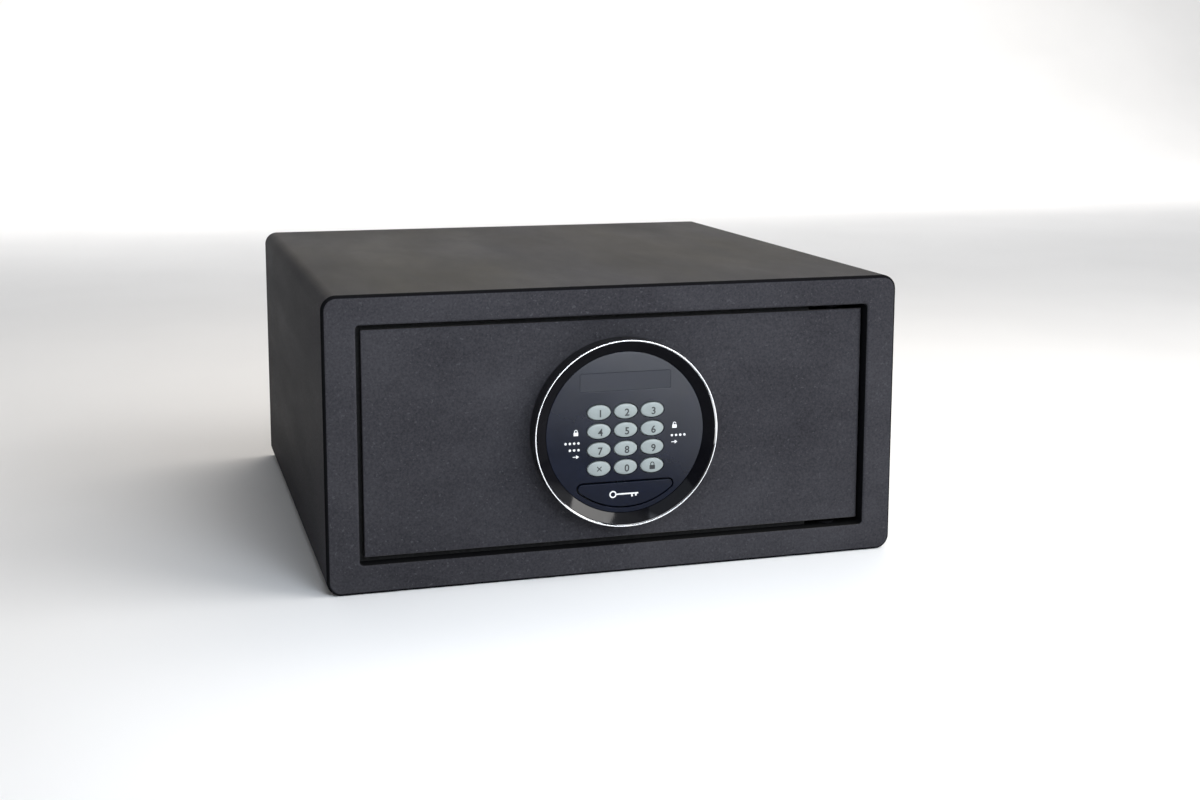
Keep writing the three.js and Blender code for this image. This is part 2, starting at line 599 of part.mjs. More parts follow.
// The keypad's board: a disc cut off straight above the override lock.
function keypadBoard() {
  const drop = BOARD_Z0 - MID_Z;
  const side = Math.asin(drop / BOARD_R);
  const shape = new THREE.Shape().absarc(0, MID_Z, BOARD_R, side, Math.PI - side);
  shape.closePath();
  return slab(shape, BOARD_FRONT, BOARD_FRONT + BOARD_SHEET, 12);
}

const keyMat = () => slab(
  roundedRect(-30, 30, 69, 123, 3), BOARD_FRONT - GAP - MAT_PAD_SHEET, BOARD_FRONT - GAP, 4);

function key({ x, z }) {
  const front = FACE_FRONT - KEY_CROWN;
  const shoulder = FACE_BACK + GAP;
  const flangeR = KEY_RX + KEY_FLANGE;
  const profile = [[0, front + KEY_LENGTH], [flangeR, front + KEY_LENGTH], [flangeR, shoulder],
    [KEY_RX, shoulder], [KEY_RX, FACE_FRONT - 0.2], [KEY_RX - 1.3, front + 0.25], [0, front]];
  return turned(profile, 0, 0).scale(1, 1, KEY_RZ / KEY_RX).translate(x, 0, z);
}

// The cap with two prongs that snap into the housing behind it.
function overrideCap() {
  const front = FACE_FRONT - 0.6;
  const back = front + CAP_SHEET;
  const prongs = [-20, 20].map((x) => box(x - 1.5, x + 1.5, back - 0.5, back + 4, 57, 59));
  return join(slab(capOutline(0), front, back, 5), ...prongs);
}

// ---------------------------------------------------------------- assembly

const safe = new THREE.Group();

function add(parent, name, geometry, material) {
  const mesh = new THREE.Mesh(welded(geometry), material);
  mesh.name = name;
  parent.add(mesh);
}

function assembly(parent) {
  const group = new THREE.Group();
  parent.add(group);
  return group;
}

const housing = assembly(safe);
add(housing, 'body_wrap', bodyWrap(), powderCoat);
add(housing, 'rear_panel', rearPanel(), powderCoat);
add(housing, 'front_frame', frontFrame(), powderCoat);
add(housing, 'floor_mat', floorMat(), carpet);
add(housing, 'rear_plug_left', rearPlug(-ANCHOR_X), blackPlastic);
add(housing, 'rear_plug_right', rearPlug(ANCHOR_X), blackPlastic);
add(housing, 'floor_plug_left', floorPlug(-ANCHOR_X), blackPlastic);
add(housing, 'floor_plug_right', floorPlug(ANCHOR_X), blackPlastic);
add(housing, 'hinge_bush_upper', hingeBush(), blackPlastic);
add(housing, 'hinge_bush_lower', mirrorZ(hingeBush()), blackPlastic);

const door = assembly(safe);
add(door, 'door_plate', doorPlate(), powderCoat);
add(door, 'hinge_lug_upper', hingeLug(), zincSteel);
add(door, 'hinge_lug_lower', mirrorZ(hingeLug()), zincSteel);
add(door, 'hinge_pin_upper', hingePin(), innerCoat);
add(door, 'hinge_pin_lower', mirrorZ(hingePin()), innerCoat);
add(door, 'door_cover', doorCover(), innerCoat);
coverCorners.forEach((at, i) => add(door, `cover_screw_${i + 1}`, coverScrew(at), zincSteel));
padScrews.forEach((at, i) => add(door, `keypad_screw_${i + 1}`, keypadScrew(at), zincSteel));

const lock = assembly(door);
add(lock, 'lock_chassis', lockChassis(), zincSteel);
add(lock, 'gear_motor', gearMotor(), blackPlastic);
add(lock, 'control_board', controlBoard(), greenBoard);
add(lock, 'lock_pinion', pinion(), brass);
add(lock, 'bolt_carrier', boltCarrier(), zincSteel);
add(lock, 'locking_bolt_lower', lockingBolt(BOLT_HEIGHTS[0]), zincSteel);
add(lock, 'locking_bolt_upper', lockingBolt(BOLT_HEIGHTS[1]), zincSteel);
add(lock, 'override_lock_body', lockBody(), zincSteel);
add(lock, 'override_lock_nut', lockNut(), zincSteel);
add(lock, 'override_lock_plug', lockPlug(), brass);

const power = assembly(door);
add(power, 'battery_tray', batteryTray(), blackPlastic);
for (let i = 0; i < 4; i += 1) {
  add(power, `battery_cell_${i + 1}`, batteryCell(i), cellSleeve);
}
add(power, 'battery_lid', batteryLid(), blackPlastic);

const keypad = assembly(door);
add(keypad, 'keypad_housing', keypadHousing(), blackPlastic);
add(keypad, 'chrome_ring', chromeRing(), chrome);
add(keypad, 'keypad_bezel', keypadBezel(), glossBlack);
add(keypad, 'faceplate', faceplate(), glossBlack);
add(keypad, 'display_window', displayWindow(), smokedLens);
add(keypad, 'display_module', displayModule(), blackPlastic);
add(keypad, 'keypad_board', keypadBoard(), greenBoard);
add(keypad, 'key_mat', keyMat(), siliconeRubber);
keySpots.forEach((spot) => add(keypad, `key_${spot.label}`, key(spot), keyPlastic));
add(keypad, 'override_cap', overrideCap(), glossBlack);

export default safe;
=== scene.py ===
"""In-room safe: the looks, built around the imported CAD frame. Metres, +Z up, -Y towards the user."""
import json
import math

import bmesh
import bpy
from mathutils import Matrix, Vector


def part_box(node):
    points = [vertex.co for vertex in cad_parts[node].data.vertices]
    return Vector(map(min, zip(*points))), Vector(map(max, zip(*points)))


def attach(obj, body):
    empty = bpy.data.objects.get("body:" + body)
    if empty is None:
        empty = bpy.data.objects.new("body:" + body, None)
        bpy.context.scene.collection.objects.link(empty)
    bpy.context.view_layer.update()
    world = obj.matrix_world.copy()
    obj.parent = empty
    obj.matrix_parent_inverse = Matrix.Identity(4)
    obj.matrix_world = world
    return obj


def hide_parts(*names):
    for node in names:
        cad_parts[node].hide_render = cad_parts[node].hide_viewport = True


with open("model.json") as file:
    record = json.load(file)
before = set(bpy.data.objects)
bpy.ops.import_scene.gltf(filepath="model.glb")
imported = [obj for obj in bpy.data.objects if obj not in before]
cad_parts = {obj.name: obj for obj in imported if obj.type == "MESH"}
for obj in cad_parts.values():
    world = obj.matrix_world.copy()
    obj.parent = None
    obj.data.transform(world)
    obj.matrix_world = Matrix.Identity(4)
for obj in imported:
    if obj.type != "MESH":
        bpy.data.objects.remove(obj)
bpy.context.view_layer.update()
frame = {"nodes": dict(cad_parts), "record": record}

MM = 0.001
TAU = 2 * math.pi
UP = Vector((0, 0, 1))
RIGHT = Vector((1, 0, 0))

# ------------------------------------------------------------------ sizes, from the frame

frame_lo, frame_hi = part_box("front_frame")
wrap_lo, wrap_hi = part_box("body_wrap")
door_lo, door_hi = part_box("door_plate")
cover_lo, cover_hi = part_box("door_cover")
HALF_W = frame_hi.x
HEIGHT = frame_hi.z
MID_Z = HEIGHT / 2
FRONT = frame_lo.y
RETURN_BACK = frame_hi.y
CORNER = 10 * MM
SHEET = 2 * MM
FRAME_PLATE = 3 * MM
DOOR_PLATE = 5 * MM
GAP = 3.5 * MM
GAP_BELOW = 4.5 * MM
OPEN_X = -door_lo.x + GAP
OPEN_Z0 = door_lo.z - GAP_BELOW
OPEN_Z1 = door_hi.z + GAP
DOOR_FRONT = door_lo.y
DOOR_BACK = DOOR_FRONT + DOOR_PLATE
ANCHOR_R = 7 * MM
EDGE_SOFT = 0.4 * MM
CUT_PAST = 10 * MM  # how far a cutter reaches past what it cuts
DIGITS = "0123456789"
BOLTS = ("locking_bolt_lower", "locking_bolt_upper")
COVER_SCREWS = [f"cover_screw_{i}" for i in range(1, 5)]
KEYPAD_SCREWS = ["keypad_screw_1", "keypad_screw_2"]


def middle(node):
    """The middle of a node's box."""
    lo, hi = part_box(node)
    return (lo + hi) / 2


# ------------------------------------------------------------------ camera and stage

def make_camera():
    """Left of the safe and above it, a little wider than a normal lens."""
    camera = bpy.data.objects.new("camera", bpy.data.cameras.new("camera"))
    camera.location = (-0.3199, -1.2345, 0.3473)
    azimuth, elevation, roll = 16.42, -8.66, -0.12
    turn = Matrix.Rotation(math.radians(-azimuth), 4, "Z")
    tilt = Matrix.Rotation(math.radians(90 + elevation), 4, "X")
    spin = Matrix.Rotation(math.radians(-roll), 4, "Z")
    camera.rotation_euler = (turn @ tilt @ spin).to_euler()
    camera.data.lens = 48.53
    camera.data.sensor_width = 36
    camera.data.shift_y = -0.075
    camera.data.clip_start = 0.02
    bpy.context.scene.collection.objects.link(camera)
    bpy.context.scene.camera = camera


def area_light(name, at, aim, size, power, color):
    """A rectangular light that the camera can't see, turned towards a point."""
    data = bpy.data.lights.new(name, "AREA")
    data.shape = "RECTANGLE"
    data.size, data.size_y = size
    data.energy = power
    data.color = color
    light = bpy.data.objects.new(name, data)
    light.location = at
    light.rotation_euler = (Vector(aim) - Vector(at)).to_track_quat("-Z", "Y").to_euler()
    light.visible_camera = False
    bpy.context.scene.collection.objects.link(light)


def make_lights():
    """A room dim on the left and bright on the right, a warm key light, cool fills, and a lit backdrop."""
    bpy.context.scene.view_settings.view_transform = "Standard"
    world = bpy.data.worlds.new("studio")
    bpy.context.scene.world = world
    world.use_nodes = True
    tree = world.node_tree
    back = tree.nodes["Background"]
    direction = tree.nodes.new("ShaderNodeSeparateXYZ")
    tree.links.new(tree.nodes.new("ShaderNodeTexCoord").outputs["Generated"], direction.inputs["Vector"])
    sides = tree.nodes.new("ShaderNodeMapRange")
    tree.links.new(direction.outputs["X"], sides.inputs["Value"])
    set_range(sides, -0.8, 0.8, 0.03, 0.8)
    tree.links.new(sides.outputs["Result"], back.inputs["Strength"])
    back.inputs["Color"].default_value = (0.95, 0.97, 1, 1)
    keypad = (0, -0.2, MID_Z)
    warm = (1, 0.98, 0.95)
    cool = (0.82, 0.9, 1)
    area_light("key_right", (1.45, -0.85, 1.25), keypad, (1.5, 0.9), 26, warm)
    area_light("front_fill", (0.8, -2.0, 1.2), keypad, (1.2, 1.0), 4, cool)
    area_light("door_side", (-0.12, -0.62, 0.42), (0.24, -0.38, 0.1), (0.3, 0.3), 1.4, cool)
    area_light("floor_pool", (0.35, -1.45, 0.55), (0.33, -1.25, 0), (0.6, 0.4), 10, (0.85, 0.92, 1))
    area_light("above_behind", (0.25, 0.4, 0.95), (0.1, 0.05, HEIGHT), (0.8, 0.5), 4, (1, 0.9, 0.78))
    area_light("floor_behind", (1.7, 2.9, 1.5), (1.7, 3.1, 0), (5.0, 1.2), 34, (1, 0.98, 0.96))
    area_light("backdrop_wash", (1.4, 2.4, 1.5), (1.4, 4.6, 1.0), (3.5, 1.2), 30, (1, 0.96, 0.9))
    area_light("backdrop_wash_left", (-2.0, 2.2, 1.6), (-2.0, 4.4, 0.2), (3.5, 1.2), 22, warm)


def make_floor():
    """A pale floor that curves up into a backdrop far behind the safe."""
    bm = bmesh.new()
    reach, back, bend, top = 14.0, 3.5, 1.2, 4.0
    path = [(-reach, 0), *arc((back, bend), bend, -90, 0, 16), (back + bend, top)]
    rows = [[bm.verts.new((x, y, z)) for y, z in path] for x in (-reach, reach)]
    for i in range(len(path) - 1):
        bm.faces.new((rows[0][i], rows[1][i], rows[1][i + 1], rows[0][i + 1]))
    to_object("floor", bm, floor_paper())


# ------------------------------------------------------------------ node helpers

def set_range(node, *limits):
    """Sets a Map Range node's four limits."""
    for key, value in zip(("From Min", "From Max", "To Min", "To Max"), limits):
        node.inputs[key].default_value = value


class Nodes:
    """Short names for building one material's node tree."""

    def __init__(self, name):
        self.material = bpy.data.materials.new(name)
        self.material.use_nodes = True
        self.tree = self.material.node_tree
        self.shader = self.tree.nodes["Principled BSDF"]
        coordinates = self.add("ShaderNodeTexCoord")
        self.place = coordinates.outputs["Object"]
        self.facing = coordinates.outputs["Normal"]

    def add(self, kind, **settings):
        node = self.tree.nodes.new(kind)
        for key, value in settings.items():
            setattr(node, key, value)
        return node

    def link(self, source, node, socket):
        self.tree.links.new(source, node.inputs[socket])

    def set(self, **values):
        """Sets the shader's own sockets, named with _ for each space."""
        for key, value in values.items():
            self.shader.inputs[key.replace("_", " ")].default_value = value

    def axis(self, source, name):
        """One of a vector's X, Y and Z."""
        node = self.add("ShaderNodeSeparateXYZ")
        self.link(source, node, "Vector")
        return node.outputs[name]

    def mix(self, share, a, b):
        """A colour between a and b; the node's sockets share their names, so they go by number."""
        node = self.add("ShaderNodeMix", data_type="RGBA")
        self.link(share, node, 0)
        self.link(a, node, 6)
        self.link(b, node, 7)
        return node.outputs[2]

    def noise(self, scale, detail=2, rough=0.5, stretch=None):
        node = self.add("ShaderNodeTexNoise")
        node.inputs["Scale"].default_value = scale
        node.inputs["Detail"].default_value = detail
        node.inputs["Roughness"].default_value = rough
        source = self.place
        if stretch:
            mapping = self.add("ShaderNodeMapping")
            mapping.inputs["Scale"].default_value = stretch
            self.link(self.place, mapping, "Vector")
            source = mapping.outputs["Vector"]
        self.link(source, node, "Vector")
        return node.outputs["Fac"]

    def spread(self, source, low, high, start=0.35, end=0.65):
        """Maps start..end, by default a noise's middle range, onto low..high."""
        node = self.add("ShaderNodeMapRange")
        self.link(source, node, "Value")
        set_range(node, start, end, low, high)
        return node.outputs["Result"]

    def ramp(self, source, *stops):
        """Turns a number into a colour; each stop is (place, colour)."""
        node = self.add("ShaderNodeValToRGB")
        self.link(source, node, "Fac")
        elements = node.color_ramp.elements
        while len(elements) < len(stops):
            elements.new(0.5)
        for element, (at, color) in zip(elements, stops):
            element.position = at
            element.color = (*color, 1)
        return node.outputs["Color"]

    def math(self, operation, a, b):
        node = self.add("ShaderNodeMath", operation=operation)
        for i, value in enumerate((a, b)):
            if isinstance(value, (int, float)):
                node.inputs[i].default_value = value
            else:
                self.tree.links.new(value, node.inputs[i])
        return node.outputs[0]

    def bump(self, *layers):
        """Adds up the layers of relief; each is (height, depth in metres)."""
        normal = None
        for height, depth in layers:
            node = self.add("ShaderNodeBump")
            node.inputs["Distance"].default_value = depth
            self.link(height, node, "Height")
            if normal:
                self.link(normal, node, "Normal")
            normal = node.outputs["Normal"]
        self.link(normal, self.shader, "Normal")

    def color(self, source):
        self.link(source, self.shader, "Base Color")

    def roughness(self, source):
        self.link(source, self.shader, "Roughness")

    def gloss(self, source):
        self.link(source, self.shader, "Specular IOR Level")


def floor_paper():
    n = Nodes("floor_paper")
    n.color(n.ramp(n.noise(3), (0.3, (0.86, 0.86, 0.86)), (0.7, (0.89, 0.89, 0.89))))
    n.set(Roughness=0.8, Specular_IOR_Level=0.2)
    return n.material


def powder_coat(name, dark, light, dust_and_sheen, gloss=0.008):
    """Satin black powder coat: orange peel, pepper grain, pale specks, smudges, and a lighter colour on faces
    looking up, partly dust and partly painted sheen.
    """
    n = Nodes(name)
    smudge = n.noise(9, 4, 0.62, (1.0, 0.35, 1.6))
    grain = n.noise(640, 4, 0.75)
    peel = n.noise(420, 2, 0.5)
    specks = n.spread(n.noise(480, 1, 0.4), 0, 0.5, 0.7, 0.76)
    tone = n.math("ADD", n.math("MULTIPLY", smudge, 0.3), n.math("MULTIPLY", grain, 0.45))
    coat = n.ramp(n.math("ADD", tone, specks), (0.235, dark), (0.515, light))
    wiped = n.noise(7, 5, 0.68, (1.0, 0.3, 1.0))
    clean = tuple((a + b) / 2 for a, b in zip(dark, light))
    dust = n.math("ADD", n.math("MULTIPLY", wiped, 0.65), n.math("MULTIPLY", grain, 0.35))
    dust_and_sheen_colour = n.ramp(dust, (0.36, clean), (0.62, dust_and_sheen))
    # Faces looking up take the lighter colour: partly dust, partly painted sheen.
    above = n.spread(n.axis(n.facing, "Z"), 0, 1, 0.7, 0.97)
    n.color(n.mix(above, coat, dust_and_sheen_colour))
    n.roughness(n.spread(smudge, 0.42, 0.54))
    n.bump((peel, 0.14 * MM), (grain, 0.08 * MM))
    n.set(Specular_IOR_Level=gloss)
    return n.material


def gloss_black(name, color, low=0.04, high=0.08, level=0.45):
    """Piano black with a haze of fingerprints and fine hairlines; returns the nodes, for more to be added."""
    n = Nodes(name)
    haze = n.noise(60, 5, 0.65)
    n.color(n.ramp(haze, (0.3, color), (0.8, tuple(c * 1.6 for c in color))))
    n.roughness(n.spread(haze, low, high))
    hairline = n.noise(900, 1, 0.4, (1, 1, 0.02))
    n.bump((hairline, 0.002 * MM), (n.noise(25, 1), 0.02 * MM))
    n.set(Specular_IOR_Level=level)
    return n


def face_film_painted_reflection():
    """The faceplate: its gloss falls off towards the bottom left, a painted reflection."""
    n = gloss_black("gloss_black", FACE_BLACK)
    across, up = n.axis(n.place, "X"), n.axis(n.place, "Z")
    # The gloss is set by place: a painted reflection, stronger upwards and to the right.
    reflection_slope = n.math("ADD", up, n.math("MULTIPLY", across, 0.45))
    ripple = n.math("MULTIPLY", n.noise(22, 3, 0.6), 0.03)
    n.gloss(n.spread(n.math("ADD", reflection_slope, ripple), 0.12, 0.6, 0.085, 0.16))
    return n.material


def dish_film_painted_reflection():
    """The dished bezel: almost matt black but for a painted reflection, a stretch of higher gloss at the
    bottom left.
    """
    n = gloss_black("dish_black", (0.003, 0.003, 0.004), 0.06, 0.1)
    across, up = n.axis(n.place, "X"), n.axis(n.place, "Z")
    # The gloss is set by place: a painted reflection at the bottom left.
    reflection_slope = n.math("ADD", up, n.math("MULTIPLY", across, 0.39))
    n.gloss(n.spread(reflection_slope, 0.3, 0.03, 0.043, 0.051))
    return n.material


def chrome_plate():
    n = Nodes("chrome_plate")
    n.color(n.ramp(n.noise(300, 3), (0.3, (0.86, 0.87, 0.89)), (0.7, (0.93, 0.93, 0.94))))
    n.roughness(n.spread(n.noise(150, 4), 0.05, 0.12))
    n.bump((n.noise(1200, 2), 0.003 * MM))
    n.set(Metallic=1.0)
    return n.material


def moulded_plastic(name, dark, light, rough, grain=0.02 * MM):
    """Plastic, rubber or ink with a fine even grain."""
    n = Nodes(name)
    n.color(n.ramp(n.noise(120, 4), (0.3, dark), (0.7, light)))
    n.roughness(n.spread(n.noise(400, 3), rough - 0.06, rough + 0.06))
    n.bump((n.noise(2200, 2), grain))
    return n.material


def metal(name, dark, light, rough):
    """Plated or bare metal with a fine grain and cloudy patches."""
    n = Nodes(name)
    grain = n.noise(700, 3, 0.6)
    clouds = n.noise(40, 4)
    tone = n.math("ADD", n.math("MULTIPLY", grain, 0.5), n.math("MULTIPLY", clouds, 0.5))
    n.color(n.ramp(tone, (0.35, dark), (0.65, light)))
    n.roughness(n.spread(grain, rough - 0.08, rough + 0.08))
    n.bump((grain, 0.01 * MM))
    n.set(Metallic=1.0)
    return n.material


def felt():
    """Needled carpet: short fibres in uneven tufts."""
    n = Nodes("felt")
    fibre = n.noise(1500, 4, 0.7, (1, 0.6, 1))
    tuft = n.noise(180, 4, 0.6)
    tone = n.math("MULTIPLY", n.math("ADD", fibre, tuft), 0.5)
    n.color(n.ramp(tone, (0.35, (0.014, 0.014, 0.015)), (0.65, (0.075, 0.075, 0.08))))
    n.set(Roughness=0.95, Sheen_Weight=0.3, Sheen_Roughness=0.4)
    n.bump((fibre, 0.4 * MM), (tuft, 0.6 * MM))
    return n.material


def circuit_board():
    """Green solder resist over copper tracks."""
    n = Nodes("circuit_board")
    tracks = n.add("ShaderNodeTexBrick")
    tracks.inputs["Scale"].default_value = 260
    tracks.inputs["Mortar Size"].default_value = 0.05
    n.link(n.place, tracks, "Vector")
    n.color(n.ramp(tracks.outputs["Fac"], (0.4, (0.006, 0.075, 0.03)), (0.6, (0.012, 0.13, 0.05))))
    n.roughness(n.spread(n.noise(500), 0.25, 0.4))
    n.bump((tracks.outputs["Fac"], 0.03 * MM))
    return n.material


FACE_BLACK = (0.003, 0.0045, 0.011)
INK_GRAIN = 0.004 * MM
COAT = ((0.019, 0.0185, 0.022), (0.053, 0.052, 0.058), (0.060, 0.0565, 0.050))  # dark, light, and the lighter colour on faces looking up, partly dust and partly painted sheen
POWDER = powder_coat("powder_coat", *COAT)
# A copy of the coat with a little more gloss, for the housing's top faces: painted sheen.
POWDER_TOP_SHEEN = powder_coat("powder_coat_top_painted_sheen", *COAT, 0.009)
# A near-black copy of the coat: painted shade in the frame's gap and a painted dark line on its rounded
# sides.
SHADE_COAT = powder_coat("powder_painted_shade", (0.005, 0.005, 0.006), (0.008, 0.008, 0.009), (0.009, 0.009, 0.009), 0.003)
# The inside coat is a lighter, glossier copy of the powder coat: painted light for the dim inside of the
# door.
INNER_PAINTED_LIGHT = powder_coat("inner_coat", (0.034, 0.034, 0.036), (0.05, 0.05, 0.053), (0.05, 0.05, 0.053), 0.06)
GLOSS_PAINTED_REFLECTION = face_film_painted_reflection()
DISH_PAINTED_REFLECTION = dish_film_painted_reflection()
WINDOW = gloss_black("smoked_window", FACE_BLACK, level=0.5).material
CHROME = chrome_plate()
KEY = moulded_plastic("key_plastic", (0.24, 0.27, 0.266), (0.275, 0.31, 0.305), 0.4, 0.006 * MM)
INK = moulded_plastic("key_ink", (0.012, 0.014, 0.016), (0.02, 0.022, 0.025), 0.6, INK_GRAIN)
WHITE_INK = moulded_plastic("white_ink", (0.72, 0.72, 0.72), (0.8, 0.8, 0.8), 0.5, INK_GRAIN)
ABS = moulded_plastic("black_abs", (0.009, 0.009, 0.01), (0.014, 0.014, 0.015), 0.36)
RUBBER = moulded_plastic("silicone", (0.2, 0.205, 0.21), (0.26, 0.265, 0.27), 0.7)
ZINC = metal("zinc_plate", (0.42, 0.43, 0.45), (0.62, 0.62, 0.64), 0.34)
BRASS = metal("brass", (0.5, 0.36, 0.15), (0.68, 0.52, 0.25), 0.28)
FELT = felt()
GASKET = moulded_plastic("foam_gasket", (0.004, 0.004, 0.004), (0.007, 0.007, 0.007), 0.9, 0.08 * MM)
BOARD = circuit_board()
SLEEVE = moulded_plastic("cell_sleeve", (0.015, 0.05, 0.11), (0.02, 0.07, 0.14), 0.3)

SLOT_LOOKS = {
    "powder_coat": POWDER, "inner_coat": INNER_PAINTED_LIGHT, "carpet": FELT, "black_plastic": ABS, "gloss_black": GLOSS_PAINTED_REFLECTION,
    "smoked_window": WINDOW, "chrome": CHROME, "key_plastic": KEY, "key_rubber": RUBBER, "zinc_steel": ZINC,
    "brass": BRASS, "circuit_board": BOARD, "cell_sleeve": SLEEVE,
}


# ------------------------------------------------------------------ mesh helpers

WELD = 1e-6
SMOOTH_BELOW = 32


def to_object(name, bm, material):
    """Welds, turns the faces outwards, and shades smooth except at edges of SMOOTH_BELOW degrees or more."""
    bmesh.ops.remove_doubles(bm, verts=bm.verts, dist=WELD)
    bmesh.ops.recalc_face_normals(bm, faces=bm.faces)
    for face in bm.faces:
        face.smooth = True
    for edge in bm.edges:
        edge.smooth = len(edge.link_faces) == 2 and edge.calc_face_angle(0) < math.radians(SMOOTH_BELOW)
    mesh = bpy.data.meshes.new(name)
    bm.to_mesh(mesh)
    bm.free()
    obj = bpy.data.objects.new(name, mesh)
    obj.data.materials.append(material)
    bpy.context.scene.collection.objects.link(obj)
    return obj


def even_normals(obj):
    """Makes flat faces look flat beside their rounded edges."""
    shading = obj.modifiers.new("even_normals", "WEIGHTED_NORMAL")
    shading.keep_sharp = True


def piece(obj, body, slot, *replaced):
    """Puts a finished object on a body, with the nodes it stands for; the slot argument is not used."""
    even_normals(obj)
    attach(obj, body)
    if replaced:
        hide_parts(*replaced)


def loft(rings, closed=False):
    """Joins outlines that have the same number of points; a closed loft ends where it starts."""
    bm = bmesh.new()
    rows = [[bm.verts.new(p) for p in ring] for ring in rings]
    pairs = list(zip(rows, rows[1:]))
    if closed:
        pairs.append((rows[-1], rows[0]))
    for a, b in pairs:
        for i in range(len(a)):
            j = (i + 1) % len(a)
            bm.faces.new((a[i], a[j], b[j], b[i]))
    if not closed:
        bm.faces.new(rows[0])
        bm.faces.new(rows[-1])
    return bm


def rect_ring(x0, x1, z0, z1, r, y, steps):
    """A rounded rectangle in the plane y."""
    centres = [(x1 - r, z0 + r, -90), (x1 - r, z1 - r, 0), (x0 + r, z1 - r, 90), (x0 + r, z0 + r, 180)]
    ring = []
    for cx, cz, start in centres:
        for i in range(steps + 1):
            a = math.radians(start + 90 * i / steps)
            ring.append((cx + r * math.cos(a), y, cz + r * math.sin(a)))
    return ring


def circle_ring(x, z, rx, rz, y, sides):
    """A circle or an ellipse in the plane y."""
    return [(x + rx * math.cos(TAU * i / sides), y, z + rz * math.sin(TAU * i / sides)) for i in range(sides)]


def arc(centre, radius, start, end, steps):
    """Points of an arc in a profile plane, angles in degrees."""
    angles = (math.radians(start + (end - start) * i / steps) for i in range(steps + 1))
    return [(centre[0] + radius * math.cos(a), centre[1] + radius * math.sin(a)) for a in angles]


def turned(profile, x, z, sides=128):
    """Turns a profile of (radius, y) about a line along Y; points on the axis close the ends."""
    ring = [p for p in profile if p[0] > 0]
    return loft([circle_ring(x, z, r, r, y, sides) for r, y in ring], closed=len(ring) == len(profile))


def evaluated_bmesh(obj):
    """The object's mesh with its modifiers applied; the object itself is removed."""
    bpy.context.view_layer.update()
    shown = obj.evaluated_get(bpy.context.evaluated_depsgraph_get())
    bm = bmesh.new()
    bm.from_mesh(shown.to_mesh())
    bm.transform(obj.matrix_world)
    bpy.data.objects.remove(obj)
    return bm


def plate(outlines, y0, y1, bevel, steps=3):
    """A flat plate from an outer outline of (x, z) points, then its holes, with rounded edges everywhere."""
    curve = bpy.data.curves.new("outline", "CURVE")
    curve.dimensions = "2D"
    curve.fill_mode = "BOTH"
    curve.extrude = (y1 - y0) / 2 - bevel
    curve.bevel_depth = bevel
    curve.bevel_resolution = steps
    curve.offset = -bevel
    for i, points in enumerate(outlines):
        area = sum(a[0] * b[1] - b[0] * a[1] for a, b in zip(points, points[1:] + points[:1]))
        if (area > 0) != (i == 0):
            points = points[::-1]
        spline = curve.splines.new("POLY")
        spline.points.add(len(points) - 1)
        for point, (x, z) in zip(spline.points, points):
            point.co = (x, z, 0, 1)
        spline.use_cyclic_u = True
    obj = bpy.data.objects.new("outline", curve)
    obj.matrix_world = Matrix.Translation((0, (y0 + y1) / 2, 0)) @ Matrix.Rotation(math.radians(90), 4, "X")
    bpy.context.scene.collection.objects.link(obj)
    return evaluated_bmesh(obj)


def rect_outline(x0, x1, z0, z1, r, steps=6):
    """A rounded rectangle as (x, z) points."""
    return [(x, z) for x, _, z in rect_ring(x0, x1, z0, z1, r, 0, steps)]


def oval_outline(x, z, rx, rz, sides=64):
    """A circle or an ellipse as (x, z) points."""
    return [(px, pz) for px, _, pz in circle_ring(x, z, rx, rz, 0, sides)]


def merged(*parts):
    """Puts separate meshes into one."""
    whole = bmesh.new()
    for part in parts:
        mesh = bpy.data.meshes.new("part")
        part.to_mesh(mesh)
        part.free()
        whole.from_mesh(mesh)
        bpy.data.meshes.remove(mesh)
    return whole


def stroke(points, width):
    """The outline of a line of even width with square ends."""
    sides = ([], [])
    for i, (x, z) in enumerate(points):
        before, after = points[max(i - 1, 0)], points[min(i + 1, len(points) - 1)]
        run = Vector((after[0] - before[0], after[1] - before[1])).normalized()
        for side, offset in zip(sides, (-width / 2, width / 2)):
            side.append((x - offset * run.y, z + offset * run.x))
    return sides[0] + sides[1][::-1]


def rod_between(a, b, radius, sides=48):
    """A cylinder whose ends are centred on the points a and b."""
    a, b = Vector(a), Vector(b)
    bm = bmesh.new()
    length = (b - a).length
    bmesh.ops.create_cone(bm, cap_ends=True, segments=sides, radius1=radius, radius2=radius, depth=length)
    bm.transform(Matrix.Translation((a + b) / 2) @ (b - a).to_track_quat("Z", "Y").to_matrix().to_4x4())
    return bm


def drill(x, z, y, radius, sides=48):
    """A rod along Y that cuts through whatever is near y."""
    return rod_between((x, y - CUT_PAST, z), (x, y + CUT_PAST, z), radius, sides)


def block(x0, x1, y0, y1, z0, z1):
    """A box for cutting or joining."""
    bm = bmesh.new()
    bmesh.ops.create_cube(bm, size=1)
    bm.transform(Matrix.Translation(((x0 + x1) / 2, (y0 + y1) / 2, (z0 + z1) / 2))
                 @ Matrix.Diagonal((x1 - x0, y1 - y0, z1 - z0, 1)))
    return bm


def combined(base, tools, operation="DIFFERENCE"):
    """Cuts tools from base, or joins them to it, with an exact boolean for each."""
    obj = to_object("base", base, POWDER)
    for tool in tools:
        cutter = to_object("tool", tool, POWDER)
        step = obj.modifiers.new("step", "BOOLEAN")
        step.operation = operation
        step.solver = "EXACT"
        step.object = cutter
        bm = evaluated_bmesh(obj)
        bpy.data.objects.remove(cutter)
        obj = to_object("base", bm, POWDER)
    bm = bmesh.new()
    bm.from_mesh(obj.data)
    bpy.data.objects.remove(obj)
    return bm


